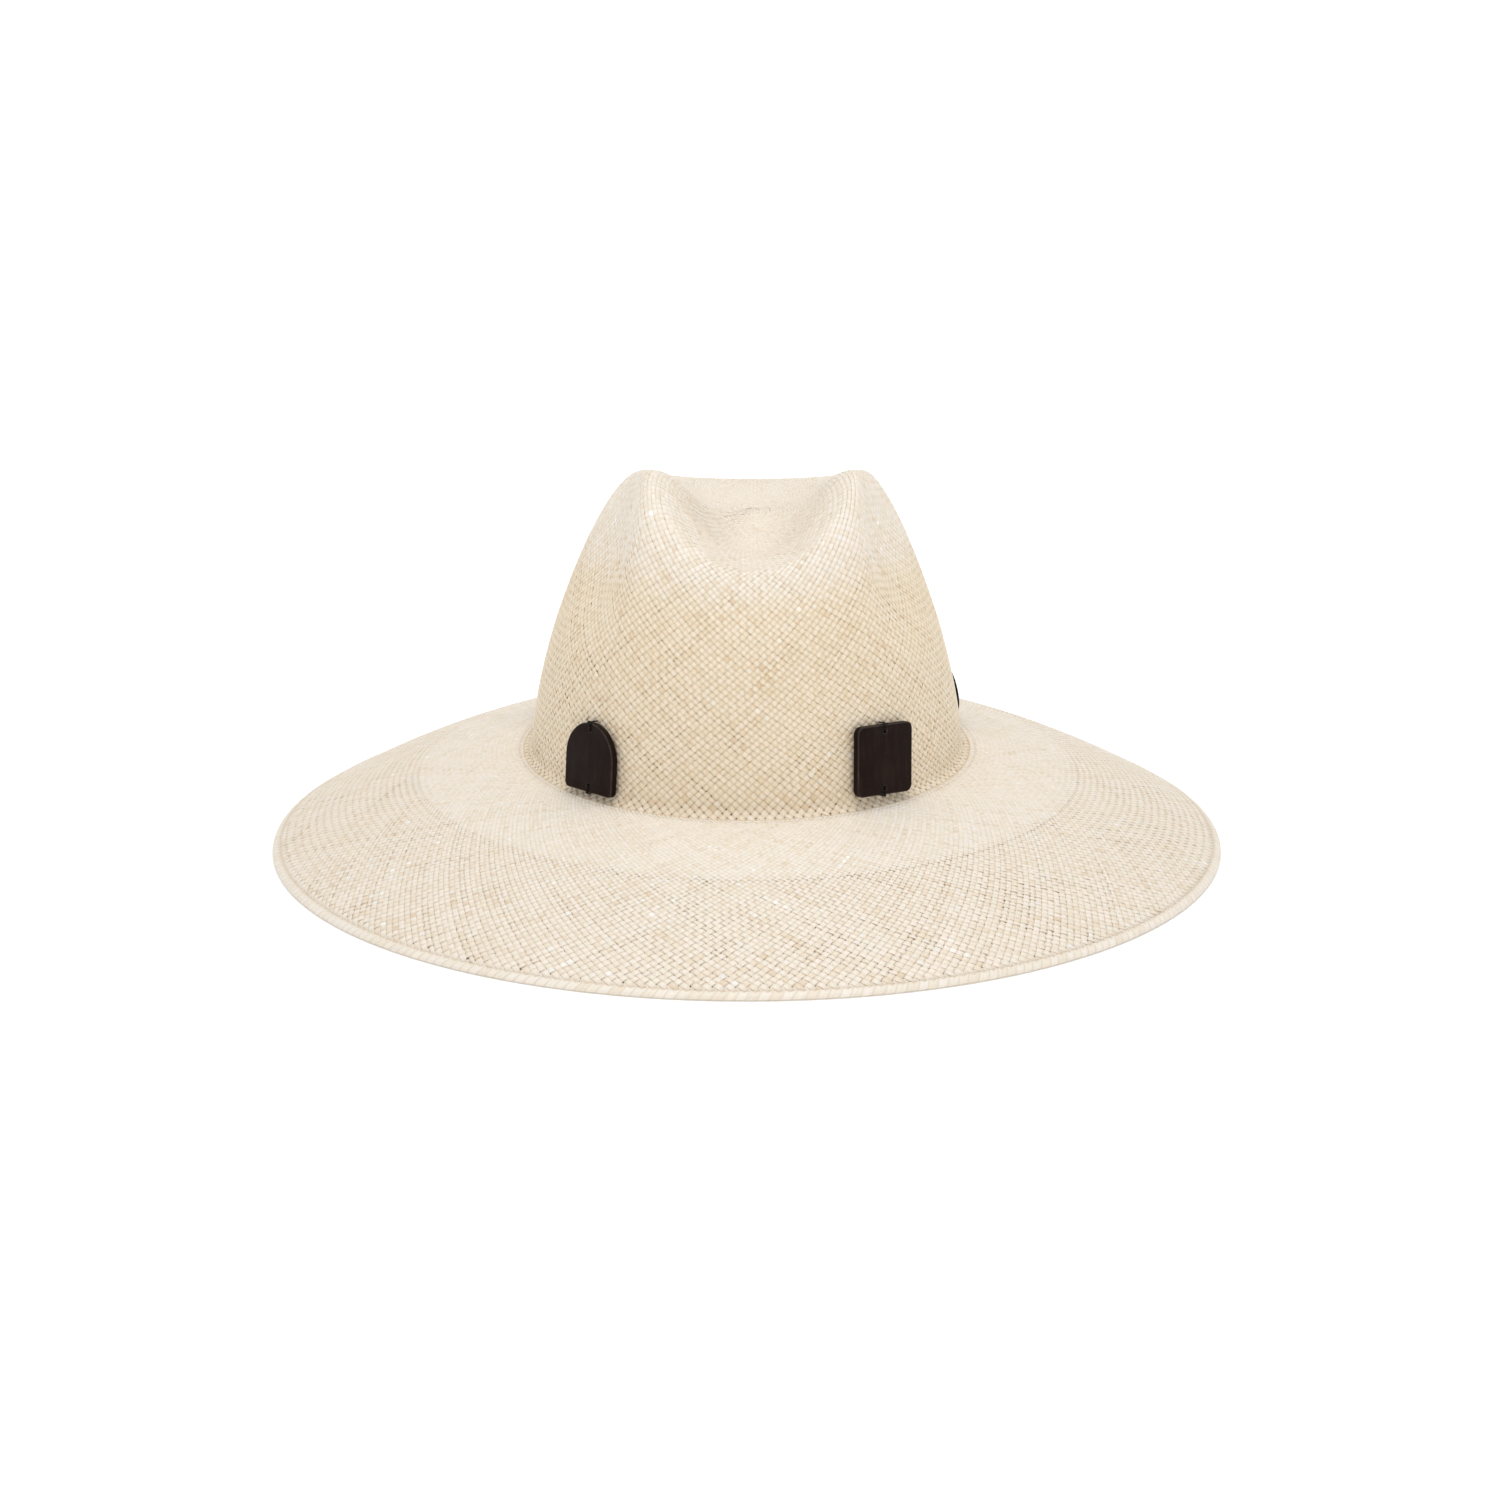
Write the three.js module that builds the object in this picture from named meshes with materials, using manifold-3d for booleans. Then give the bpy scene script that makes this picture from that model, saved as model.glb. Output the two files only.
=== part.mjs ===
// A wide-brimmed panama hat: a plaited straw crown with a teardrop dent and two front pinches,
// a sloping brim with a woven-back edge, a ribbon sweatband, and five plates sewn round the crown.
// Millimetres, +Z up. The wearer faces -Y, and Z = 0 is the table that the brim's edge rests on.
import * as THREE from "three";
import { mergeVertices } from "three/addons/utils/BufferGeometryUtils.js";
import Module from "manifold-3d";

const wasm = await Module();
wasm.setup();

// ---- Driving dimensions ----
const AROUND = 60; // facets round the hat
const GAP = 0.3; // clearance between pieces that touch
const STRAW = 1.4; // thickness of the plaited straw

// The break is the oval line where the crown turns out into the brim.
const HALF_WIDTH = 86;
const HALF_LENGTH = 103.2;
const FLARE = 4; // radius of the turn from crown to brim

const BRIM_REACH = 104.8; // from the break to the edge, in plan
const BRIM_DROP = 38.8; // fall of the top face from the break to the edge
const BRIM_START_SLOPE = 0.09;
const BRIM_CURVE = 1.72; // power of the growing slope

const EDGE_WIDTH = 5.8; // the woven-back edge, in plan
const EDGE_HEIGHT = 1.4; // its top face above the table at the rim
const EDGE_THICKNESS = 2.5;
const EDGE_FOOT = 1.9; // width of the flat that rests on the table
const EDGE_ROUND = 0.5;
const EDGE_SHOULDER = 0.9; // width of its slanted corners on top
const BREAK_Z = EDGE_HEIGHT + BRIM_DROP;

// The crest is the ridge round the top of the crown, and the dent lies inside it.
const CREST_HEIGHT = 113.2; // at the sides, above the break
const CREST_TILT = 14.2; // higher at the front and lower at the back by this much
const CREST_SHIFT = 2.3; // the hand-shaped top sits this far towards +X
const CREST_REACH = 0.44; // distance from the axis, as a share of the break oval
const CREST_REACH_FRONT = 0.27; // what the lip reaches further
const CREST_REACH_POWER = 2;
const LIP_DIP = 36.5; // how far the crest falls to the lip at the middle of the front
const LIP_HALF_ANGLE = 54;
const LIP_FLATNESS = 2.2; // power that keeps the lip's lowest stretch level
const LIP_FADE = 2; // power that eases the lip into the peaks beside it
const SHOULDER = 0.205; // roundness of the crest at the sides and back
const SHOULDER_FRONT = 0.15; // and at the lip
const SHOULDER_SPREAD = 60; // degrees over which the one becomes the other
const PEAK_ANGLE = 52; // the two peaks, beside the lip
const PEAK_SPREAD = 34;
const PEAK_SHOULDER = 0.05; // extra roundness there
const WALL_STRAIGHT = 32; // height over which the wall rises almost upright
const WALL_LEAN = 0.995;
const DENT_SHOULDER = 0.17;
const DENT_FLOOR = 0.3;
const FLOOR_HEIGHT = 97.5; // middle of the dent
const SINK_DEPTH = 4.5; // the dent is this much deeper behind the lip
const SINK_MIDDLE = 0.6; // along the dent, 0 at the crest and 1 in the middle
const SINK_LENGTH = 0.4;
const SINK_SPREAD = 90;

// A pinch is the hollow that a thumb and finger press in each side of the crown's front.
const PINCH_ANGLE = 59;
const PINCH_FRONT_SPREAD = 24;
const PINCH_BACK_SPREAD = 38;
const PINCH_DEPTH = 0.205; // as a share of the distance to the axis
const PINCH_BOTTOM = 0.34; // along the wall, 0 at its foot and 1 at the crest
const PINCH_DEEPEST = 0.64;
const PINCH_TOP = 1.05;
const PINCH_AT_CREST = 0.3; // share of the depth that is left from there on

const BAND_CLEARANCE = 1.7; // room for the thread between straw and sweatband
const BAND_THICKNESS = 0.9;
const BAND_LOW = 0.8; // lower edge above the break
const BAND_HIGH = 31;
const SEAM_HEIGHT = 3.2; // the sweatband's stitching above the break
const SEAM_RADIUS = 0.35;

const BOW_LOOP = 11; // length of each loop
const BOW_LOOP_DEPTH = 4.4;
const BOW_RIBBON = 0.7;
const BOW_WIDTH = 6;
const BOW_KNOT = 4;
const BOW_OVERLAP = 0.8; // where the loops start, inside the knot
const BOW_STANDOFF = 1.2; // room for the band's curve behind the loops' ends
const BOW_HEIGHT = 7; // middle of the bow above the break

const PLATE_THICKNESS = 3;
const PLATE_BEVEL = 0.5;
const HOLE_RADIUS = 0.85;
const HOLE_INSET = 2.6; // from the plate's edge to the hole's middle
const THREAD_RADIUS = 0.35;
const THREAD_SIDES = 5;
const THREAD_STEPS = 14;
const THREAD_CORNER = 0.12; // how near each corner of a tie its turn starts
const PIERCING_RADIUS = 0.8; // where the thread goes through the straw

// Each plate: its place round the oval in degrees from the front, its height above the break,
// how far it is turned in its own plane, and its outline's width and height.
const PLATES = [
  { name: "arch", shape: "arch", angle: -43.7, height: 16.2, turn: 2, width: 28, tall: 27.5 },
  { name: "square", shape: "square", angle: 37.2, height: 17.6, turn: -6, width: 28.6, tall: 27.6 },
  { name: "circle", shape: "circle", angle: 110.5, height: 13, turn: 0, width: 21, tall: 21 },
  { name: "triangle", shape: "triangle", angle: 176.5, height: 17, turn: 3, width: 30, tall: 27 },
  { name: "half_round", shape: "halfRound", angle: 242, height: 17, turn: -2, width: 31, tall: 19 },
];

// ---- Colours ----
const straw = { color: 0xe6d8bd, roughness: 0.75 };
const edgeStraw = { color: 0xdfcdae, roughness: 0.75 };
const ribbon = { color: 0x1d1a18, roughness: 0.85 };
const seamThread = { color: 0x2a2624, roughness: 0.8 };
const horn = { color: 0x2a211e, roughness: 0.42 };
const thread = { color: 0x0c0b0b, roughness: 0.9 };

// ---- Small helpers ----
const TURN = 2 * Math.PI;
const toRadians = THREE.MathUtils.degToRad;
const lerp = THREE.MathUtils.lerp;
const between = (count, from, to) =>
  Array.from({ length: count + 1 }, (_, i) => lerp(from, to, i / count));

/** 1 at 0, falling smoothly to 0 at 1 and beyond, on both sides. */
const bump = (v) => Math.cos((Math.PI / 2) * Math.min(1, Math.abs(v))) ** 2;

const bezier = (t, a, b, c, d) => {
  const s = 1 - t;
  return s ** 3 * a + 3 * s * s * t * b + 3 * s * t * t * c + t ** 3 * d;
};

/** Degrees from the front, -180 to 180, of an angle in radians. */
const degreesFromFront = (angle) => {
  const turns = angle / TURN;
  return 360 * (turns - Math.round(turns));
};

function toSolid(geometry) {
  const bare = geometry.clone();
  bare.deleteAttribute("normal");
  bare.deleteAttribute("uv");
  const merged = mergeVertices(bare, 1e-4);
  return new wasm.Manifold(
    new wasm.Mesh({
      numProp: 3,
      vertProperties: merged.attributes.position.array,
      triVerts: new Uint32Array(merged.index.array),
    }),
  );
}

function toGeometry(solid) {
  const mesh = solid.getMesh();
  return new THREE.BufferGeometry()
    .setAttribute("position", new THREE.BufferAttribute(mesh.vertProperties, 3))
    .setIndex(new THREE.BufferAttribute(mesh.triVerts, 1));
}

/** The same closed surface with its faces pointing out. */
function facingOut(geometry) {
  if (toSolid(geometry).volume() > 0) return geometry;
  const index = geometry.index.array;
  for (let i = 0; i < index.length; i += 3) {
    [index[i + 1], index[i + 2]] = [index[i + 2], index[i + 1]];
  }
  return geometry;
}

const hat = new THREE.Group();

function addPiece(name, geometry, look, matrix = new THREE.Matrix4()) {
  const mesh = new THREE.Mesh(geometry, new THREE.MeshStandardMaterial({ metalness: 0, ...look }));
  mesh.name = name;
  mesh.applyMatrix4(matrix);
  hat.add(mesh);
}

/** A lathe's grid of corners, each moved to its place on the oval hat. */
function ovalSolid(profile, place) {
  const geometry = new THREE.LatheGeometry(profile, AROUND);
  const position = geometry.attributes.position;
  for (let i = 0; i <= AROUND; i++) {
    const angle = ((i % AROUND) / AROUND) * TURN;
    profile.forEach((point, j) => {
      const p = place(angle, point.x, point.y);
      position.setXYZ(i * profile.length + j, p.x, p.y, p.z);
    });
  }
  return facingOut(geometry);
}

/** A thread whose ends meet: a torus's grid laid along a closed curve. */
function threadLoop(curve, steps, sides, radius) {
  const geometry = new THREE.TorusGeometry(1, 0.3, sides, steps);
  const frames = curve.computeFrenetFrames(steps, true);
  const position = geometry.attributes.position;
  for (let j = 0; j <= sides; j++) {
    const round = ((j % sides) / sides) * TURN;
    for (let i = 0; i <= steps; i++) {
      const along = (i % steps) / steps;
      const p = curve.getPointAt(along);
      p.addScaledVector(frames.normals[i % steps], Math.cos(round) * radius);
      p.addScaledVector(frames.binormals[i % steps], Math.sin(round) * radius);
      position.setXYZ(j * (steps + 1) + i, p.x, p.y, p.z);
    }
  }
  return facingOut(geometry);
}

// ---- The brim's outer surface ----
// The flare stops where its slope is the brim's own.
const FLARE_TURN = Math.PI / 2 - Math.atan(BRIM_START_SLOPE);
const FLARE_END = FLARE * (1 - Math.cos(FLARE_TURN));

/** How far the brim has fallen at a distance out from the break. */
const brimFall = (out) => {
  const share = (out - FLARE_END) / (BRIM_REACH - FLARE_END);
  const straight = BRIM_START_SLOPE * (BRIM_REACH - FLARE_END);
  return straight * share + (BRIM_DROP - straight) * share ** BRIM_CURVE;
};

const brimSlope = (out) => (brimFall(out + 0.05) - brimFall(out)) / 0.05;

/** A point at a distance out from the break, square to the oval, and at a height. */
function ovalPoint(angle, out, z) {
  const x = Math.sin(angle);
  const y = -Math.cos(angle);
  const normal = new THREE.Vector2(x / HALF_WIDTH, y / HALF_LENGTH).normalize();
  return new THREE.Vector3(HALF_WIDTH * x + normal.x * out, HALF_LENGTH * y + normal.y * out, z);
}

// ---- The crown's outer surface ----
// along is -1 where the flare meets the brim, 0 at the foot of the wall, 1 at the crest and
// 2 at the middle of the dent.
const crestHeight = (degrees) => {
  const v = Math.min(1, Math.abs(degrees) / LIP_HALF_ANGLE);
  const dip = LIP_DIP * (1 - v ** LIP_FLATNESS) ** LIP_FADE;
  return CREST_HEIGHT + CREST_TILT * Math.cos(toRadians(degrees)) - dip;
};

const crestReach = (degrees) => {
  const forward = (1 + Math.cos(toRadians(degrees))) / 2;
  return CREST_REACH + CREST_REACH_FRONT * forward ** CREST_REACH_POWER;
};

const pinch = (degrees, along) => {
  const side = Math.abs(degrees) - PINCH_ANGLE;
  const spread = side < 0 ? PINCH_FRONT_SPREAD : PINCH_BACK_SPREAD;
  const rise = along - PINCH_DEEPEST;
  const depth =
    rise < 0
      ? bump(rise / (PINCH_DEEPEST - PINCH_BOTTOM))
      : lerp(PINCH_AT_CREST, 1, bump(rise / (PINCH_TOP - PINCH_DEEPEST)));
  return PINCH_DEPTH * bump(side / spread) * depth;
};

function crownPoint(angle, along) {
  if (along < 0) {
    const turned = Math.min(1, -along) * FLARE_TURN;
    const rise = FLARE * (1 - Math.sin(turned));
    return ovalPoint(angle, FLARE * (1 - Math.cos(turned)), BREAK_Z + rise);
  }
  const degrees = degreesFromFront(angle);
  const high = crestHeight(degrees);
  const reach = crestReach(degrees);
  const shoulder =
    lerp(SHOULDER, SHOULDER_FRONT, bump(degrees / SHOULDER_SPREAD)) +
    PEAK_SHOULDER * bump((Math.abs(degrees) - PEAK_ANGLE) / PEAK_SPREAD);
  const wall = THREE.MathUtils.clamp(along, 0, 1);
  const dent = THREE.MathUtils.clamp(along - 1, 0, 1);
  let share = bezier(wall, 1, WALL_LEAN, reach + shoulder, reach);
  let height = bezier(wall, FLARE, WALL_STRAIGHT, high, high);
  if (dent > 0) {
    share = bezier(dent, reach, reach - DENT_SHOULDER, DENT_FLOOR, 0);
    height = bezier(dent, high, high, FLOOR_HEIGHT, FLOOR_HEIGHT);
    height -= SINK_DEPTH * bump(degrees / SINK_SPREAD) * bump((dent - SINK_MIDDLE) / SINK_LENGTH);
  }
  share *= 1 - pinch(degrees, along);
  return new THREE.Vector3(
    share * HALF_WIDTH * Math.sin(angle) + CREST_SHIFT * wall ** 3,
    -share * HALF_LENGTH * Math.cos(angle),
    BREAK_Z + height,
  );
}

function crownAxes(angle, along) {
  const step = 0.004;
  const right = crownPoint(angle + step, along).sub(crownPoint(angle - step, along)).normalize();
  const up = crownPoint(angle, along + step).sub(crownPoint(angle, along - step));
  const out = right.clone().cross(up).normalize();
  return { right, out, up: out.clone().cross(right) };
}

const isPole = (along) => along > 1.999;

function crownOffset(angle, along, depth) {
  const out = isPole(along) ? new THREE.Vector3(0, 0, 1) : crownAxes(angle, along).out;
  return crownPoint(isPole(along) ? 0 : angle, along).addScaledVector(out, -depth);
}

/** The place along the wall that is at a height above the break. */
function alongAtHeight(angle, height) {
  let low = -1;
  let high = 1;
  while (high - low > 1e-9) {
    const middle = (low + high) / 2;
    if (crownPoint(angle, middle).z - BREAK_Z < height) low = middle;
    else high = middle;
  }
  return low;
}

// ---- Straw ----
const crownSteps = (flare, wall, dent) => [
  ...between(flare, -1, 0),
  ...between(wall, 0, 1).slice(1),
  ...between(dent, 1, 2).slice(1),
];

function makeCrown(piercings) {
  const outer = crownSteps(3, 10, 6).reverse();
  const inner = crownSteps(2, 8, 5);
  const profile = [
    ...outer.map((along) => new THREE.Vector2(2 - along, 0)),
    ...inner.map((along) => new THREE.Vector2(2 - along, STRAW)),
  ];
  const shell = ovalSolid(profile, (angle, x, depth) => crownOffset(angle, 2 - x, depth));
  const cut = piercings.reduce((solid, tool) => solid.subtract(toSolid(tool)), toSolid(shell));
  addPiece("crown", toGeometry(cut), straw);
}

/** The brim's slope at a depth below its top face, as points of (distance out, height). */
const brimSide = (depth, steps) =>
  between(steps, FLARE_END + GAP, BRIM_REACH - EDGE_WIDTH - GAP).map((out) => {
    const lean = Math.atan(brimSlope(out));
    const height = BREAK_Z - brimFall(out) - depth * Math.cos(lean);
    return new THREE.Vector2(out - depth * Math.sin(lean), height);
  });

function makeBrim() {
  const top = brimSide(0, 8);
  const profile = [...top, ...brimSide(STRAW, 6).reverse(), top[0]];
  addPiece("brim", ovalSolid(profile, ovalPoint), straw);
}

function makeBrimEdge() {
  const inside = BRIM_REACH - EDGE_WIDTH;
  const topAt = (out) => BREAK_Z - brimFall(out) - EDGE_ROUND;
  const profile = [
    [inside, topAt(inside)],
    [inside + EDGE_SHOULDER, topAt(inside + EDGE_SHOULDER) + EDGE_ROUND],
    [BRIM_REACH - EDGE_SHOULDER, topAt(BRIM_REACH - EDGE_SHOULDER) + EDGE_ROUND],
    [BRIM_REACH, EDGE_HEIGHT / 2],
    [BRIM_REACH - EDGE_ROUND, 0],
    [BRIM_REACH - EDGE_ROUND - EDGE_FOOT, 0],
    [inside, topAt(inside) - EDGE_THICKNESS],
    [inside, topAt(inside)],
  ].map(([out, z]) => new THREE.Vector2(out, z));
  addPiece("brim_edge", ovalSolid(profile, ovalPoint), edgeStraw);
}

// ---- Sweatband ----
const BAND_OUTSIDE = STRAW + BAND_CLEARANCE;
const BAND_INSIDE = BAND_OUTSIDE + BAND_THICKNESS;

/** A point inside the crown's wall, which is carried straight down below its foot. */
function insideWall(angle, height, depth) {
  const above = Math.max(height, FLARE);
  const p = crownOffset(angle, alongAtHeight(angle, above), depth);
  p.z = BREAK_Z + height;
  return p;
}

function makeSweatband() {
  const heights = between(3, BAND_LOW, BAND_HIGH);
  const profile = [
    ...heights.map((h) => new THREE.Vector2(BAND_OUTSIDE, h)),
    ...heights.reverse().map((h) => new THREE.Vector2(BAND_INSIDE, h)),
    new THREE.Vector2(BAND_OUTSIDE, BAND_LOW),
  ];
  addPiece("sweatband", ovalSolid(profile, (a, depth, h) => insideWall(a, h, depth)), ribbon);

  const depth = BAND_INSIDE + GAP + SEAM_RADIUS;
  const points = between(AROUND, 0, TURN).slice(0, -1);
  const curve = new THREE.CatmullRomCurve3(
    points.map((angle) => insideWall(angle, SEAM_HEIGHT, depth)),
    true,
  );
  const seam = threadLoop(curve, AROUND, 4, SEAM_RADIUS);
  addPiece("sweatband_seam", seam, seamThread);
}

/** One loop of the bow seen from above, opening away from the knot. */
function bowLoop(sign, inset) {
  const half = BOW_LOOP_DEPTH / 2 - inset;
  const far = sign * (BOW_LOOP - inset);
  const round = between(8, -Math.PI / 2, Math.PI / 2).map((a) => {
    const x = far - sign * half * (1 - Math.cos(a));
    return new THREE.Vector2(x, sign * half * Math.sin(a));
  });
  return [new THREE.Vector2(sign * (BOW_OVERLAP + inset), 0), ...round];
}

function makeBow() {
  const loops = [-1, 1].map((sign) => {
    const outline = new THREE.Shape(bowLoop(sign, 0));
    outline.holes.push(new THREE.Path(bowLoop(sign, BOW_RIBBON)));
    return toSolid(new THREE.ExtrudeGeometry(outline, { depth: BOW_WIDTH, bevelEnabled: false }));
  });
  const knot = new THREE.BoxGeometry(BOW_KNOT, BOW_LOOP_DEPTH * 0.7, BOW_WIDTH * 0.8);
  knot.translate(0, 0, BOW_WIDTH / 2);
  const bow = loops[0].add(loops[1]).add(toSolid(knot));

  const back = insideWall(Math.PI, BOW_HEIGHT, BAND_INSIDE + GAP);
  const place = new THREE.Matrix4().makeTranslation(
    0,
    back.y - BOW_LOOP_DEPTH / 2 - BOW_STANDOFF,
    back.z - BOW_WIDTH / 2,
  );
  addPiece("sweatband_bow", toGeometry(bow), ribbon, place);
}

// ---- Plates and the thread that holds them ----
const OUTLINES = {
  square(width, tall) {
    const radius = 2.4;
    const [x, y] = [width / 2, tall / 2];
    const outline = new THREE.Shape().moveTo(x - radius, -y);
    outline.absarc(x - radius, radius - y, radius, -Math.PI / 2, 0);
    outline.absarc(x - radius, y - radius, radius, 0, Math.PI / 2);
    outline.absarc(radius - x, y - radius, radius, Math.PI / 2, Math.PI);
    outline.absarc(radius - x, radius - y, radius, Math.PI, 1.5 * Math.PI);
    return outline;
  },
  arch(width, tall) {
    const radius = 1.8;
    const [x, y] = [width / 2, tall / 2];
    const outline = new THREE.Shape().moveTo(x - radius, -y);
    outline.absarc(x - radius, radius - y, radius, -Math.PI / 2, 0);
    outline.absarc(0, y - x, x, 0, Math.PI);
    outline.absarc(radius - x, radius - y, radius, Math.PI, 1.5 * Math.PI);
    return outline;
  },
  circle: (width) => new THREE.Shape().absarc(0, 0, width / 2, 0, TURN),
  triangle(width, tall) {
    const radius = 2.6;
    const [x, y] = [width / 2 - radius, tall / 2 - radius];
    const side = Math.atan2(2 * y, x);
    const outline = new THREE.Shape().moveTo(x, -y - radius);
    outline.absarc(x, -y, radius, -Math.PI / 2, Math.PI / 2 - side);
    outline.absarc(0, y, radius, Math.PI / 2 - side, Math.PI / 2 + side);
    outline.absarc(-x, -y, radius, Math.PI / 2 + side, 1.5 * Math.PI);
    return outline;
  },
  halfRound(width, tall) {
    const radius = 1.6;
    const [x, y] = [width / 2, tall / 2];
    const outline = new THREE.Shape().moveTo(x - radius, -y);
    outline.absarc(x - radius, radius - y, radius, -Math.PI / 2, 0);
    outline.absellipse(0, radius - y, x, 2 * y - radius, 0, Math.PI, false, 0);
    outline.absarc(radius - x, radius - y, radius, Math.PI, 1.5 * Math.PI);
    return outline;
  },
};

/** A plate's own axes on the wall: x along it, y up it and z out of it. */
function plateMatrix({ angle, height, turn }) {
  const a = toRadians(angle);
  const along = alongAtHeight(a, height);
  const { right, up, out } = crownAxes(a, along);
  return new THREE.Matrix4()
    .makeBasis(right, up, out)
    .multiply(new THREE.Matrix4().makeRotationZ(toRadians(turn)))
    .setPosition(crownPoint(a, along));
}

function makePlate({ name, shape, width, tall }, matrix) {
  const inset = (size) => size - 2 * PLATE_BEVEL;
  const outline = OUTLINES[shape](inset(width), inset(tall));
  for (const side of [-1, 1]) {
    const hole = new THREE.Path();
    hole.absarc(0, side * (tall / 2 - HOLE_INSET), HOLE_RADIUS + PLATE_BEVEL, 0, TURN, true);
    outline.holes.push(hole);
  }
  const geometry = new THREE.ExtrudeGeometry(outline, {
    depth: PLATE_THICKNESS - 2 * PLATE_BEVEL,
    bevelThickness: PLATE_BEVEL,
    bevelSize: PLATE_BEVEL,
    bevelSegments: 1,
    curveSegments: 5,
  });
  geometry.translate(0, 0, GAP + PLATE_BEVEL);
  addPiece("plate_" + name, geometry, horn, matrix);
}

/** How far the wall's face lies from the plate's own plane, at a distance up the plate. */
function wallLevel({ angle }, matrix, y) {
  const a = toRadians(angle);
  const height = new THREE.Vector3(0, y, 0).applyMatrix4(matrix).z - BREAK_Z;
  return crownPoint(a, alongAtHeight(a, height)).applyMatrix4(matrix.clone().invert()).z;
}

/** One tie: out through the straw past the edge, over the face, and back through the hole. */
function makeTie(plate, end, matrix) {
  const side = end === "top" ? 1 : -1;
  const hole = side * (plate.tall / 2 - HOLE_INSET);
  const past = side * (plate.tall / 2 + THREAD_RADIUS + 2 * GAP);
  const over = GAP + PLATE_THICKNESS + GAP + THREAD_RADIUS;
  const under = (y) => wallLevel(plate, matrix, y) - STRAW - 2 * GAP - THREAD_RADIUS;
  const corners = [
    [hole, under(hole)],
    [hole, over],
    [past, over],
    [past, under(past)],
  ];
  const points = corners.flatMap(([y, z], i) => {
    const [nextY, nextZ] = corners[(i + 1) % corners.length];
    return [THREAD_CORNER, 0.5, 1 - THREAD_CORNER].map(
      (t) => new THREE.Vector3(0, lerp(y, nextY, t), lerp(z, nextZ, t)),
    );
  });
  const curve = new THREE.CatmullRomCurve3(points, true, "centripetal");
  const tie = threadLoop(curve, THREAD_STEPS, THREAD_SIDES, THREAD_RADIUS);
  addPiece("tie_" + plate.name + "_" + end, tie, thread, matrix);

  return [hole, past].map((y) => {
    const tool = new THREE.CylinderGeometry(PIERCING_RADIUS, PIERCING_RADIUS, 5 * STRAW, 6);
    const middle = wallLevel(plate, matrix, y) - STRAW / 2;
    return tool.rotateX(Math.PI / 2).translate(0, y, middle).applyMatrix4(matrix);
  });
}

const piercings = PLATES.flatMap((plate) => {
  const matrix = plateMatrix(plate);
  makePlate(plate, matrix);
  return ["top", "bottom"].flatMap((end) => makeTie(plate, end, matrix));
});

makeCrown(piercings);
makeBrim();
makeBrimEdge();
makeSweatband();
makeBow();

export default hat;
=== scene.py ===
"""A wide-brimmed panama hat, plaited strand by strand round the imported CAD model.

Lengths are millimetres until a mesh is made. The wearer faces -Y, +Z is up, and angles run
from the front (-Y) towards +X.
"""

import math

import bmesh
import bpy
import numpy as np
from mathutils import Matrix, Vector


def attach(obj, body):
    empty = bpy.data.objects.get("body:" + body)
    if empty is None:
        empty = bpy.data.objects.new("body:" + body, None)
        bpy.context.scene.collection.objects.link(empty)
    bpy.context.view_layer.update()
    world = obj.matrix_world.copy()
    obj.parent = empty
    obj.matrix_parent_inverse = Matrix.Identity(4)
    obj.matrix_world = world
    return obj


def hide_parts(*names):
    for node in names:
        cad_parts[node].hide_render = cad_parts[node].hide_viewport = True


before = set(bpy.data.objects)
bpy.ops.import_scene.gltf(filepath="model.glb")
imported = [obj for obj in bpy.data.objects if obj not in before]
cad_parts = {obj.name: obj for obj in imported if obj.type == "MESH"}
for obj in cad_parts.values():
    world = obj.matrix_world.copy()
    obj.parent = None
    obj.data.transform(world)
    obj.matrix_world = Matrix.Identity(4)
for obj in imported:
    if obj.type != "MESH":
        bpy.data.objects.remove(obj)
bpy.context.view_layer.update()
random = np.random.default_rng(57)

MM = 0.001
TAU = 2 * math.pi

# ---- The hat's driving dimensions, the same as the CAD model's ----
HALF_WIDTH, HALF_LENGTH = 86.0, 103.2
BREAK_Z = 40.2
STRAW = 1.4
FLARE = 4.0
BRIM_REACH, BRIM_DROP, BRIM_START_SLOPE, BRIM_CURVE = 104.8, 38.8, 0.09, 1.72
CREST_HEIGHT, CREST_TILT, CREST_SHIFT = 113.2, 14.2, 2.3
CREST_REACH, CREST_REACH_FRONT, CREST_REACH_POWER = 0.44, 0.27, 2
LIP_DIP, LIP_HALF_ANGLE, LIP_FLATNESS, LIP_FADE = 36.5, 54, 2.2, 2
SHOULDER, SHOULDER_FRONT, SHOULDER_SPREAD = 0.205, 0.15, 60
PEAK_ANGLE, PEAK_SPREAD, PEAK_SHOULDER = 52, 34, 0.05
WALL_STRAIGHT, WALL_LEAN = 32, 0.995
DENT_SHOULDER, DENT_FLOOR, FLOOR_HEIGHT = 0.17, 0.3, 97.5
SINK_DEPTH, SINK_MIDDLE, SINK_LENGTH, SINK_SPREAD = 4.5, 0.6, 0.4, 90
PINCH_ANGLE, PINCH_FRONT_SPREAD, PINCH_BACK_SPREAD, PINCH_DEPTH = 59, 24, 38, 0.205
PINCH_BOTTOM, PINCH_DEEPEST, PINCH_TOP, PINCH_AT_CREST = 0.34, 0.64, 1.05, 0.3
BAND_DEPTH, BAND_THICKNESS, BAND_LOW, BAND_HIGH = STRAW + 1.7, 0.9, 0.8, 31.0
SEAM_HEIGHT, SEAM_SUNK, SEAM_RISE, SEAM_WAVER, SEAM_SLANT = 3.2, 0.35, 0.6, 0.1, 0.12
BOW_LOOP, BOW_LOOP_DEPTH, BOW_RIBBON, BOW_WIDTH, BOW_HEIGHT = 11.0, 4.4, 0.7, 6.0, 7.0
BOW_STANDOFF, BOW_START, BOW_ROUNDNESS, BOW_WAVE = 1.2, 0.4, 0.62, 0.35
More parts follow.
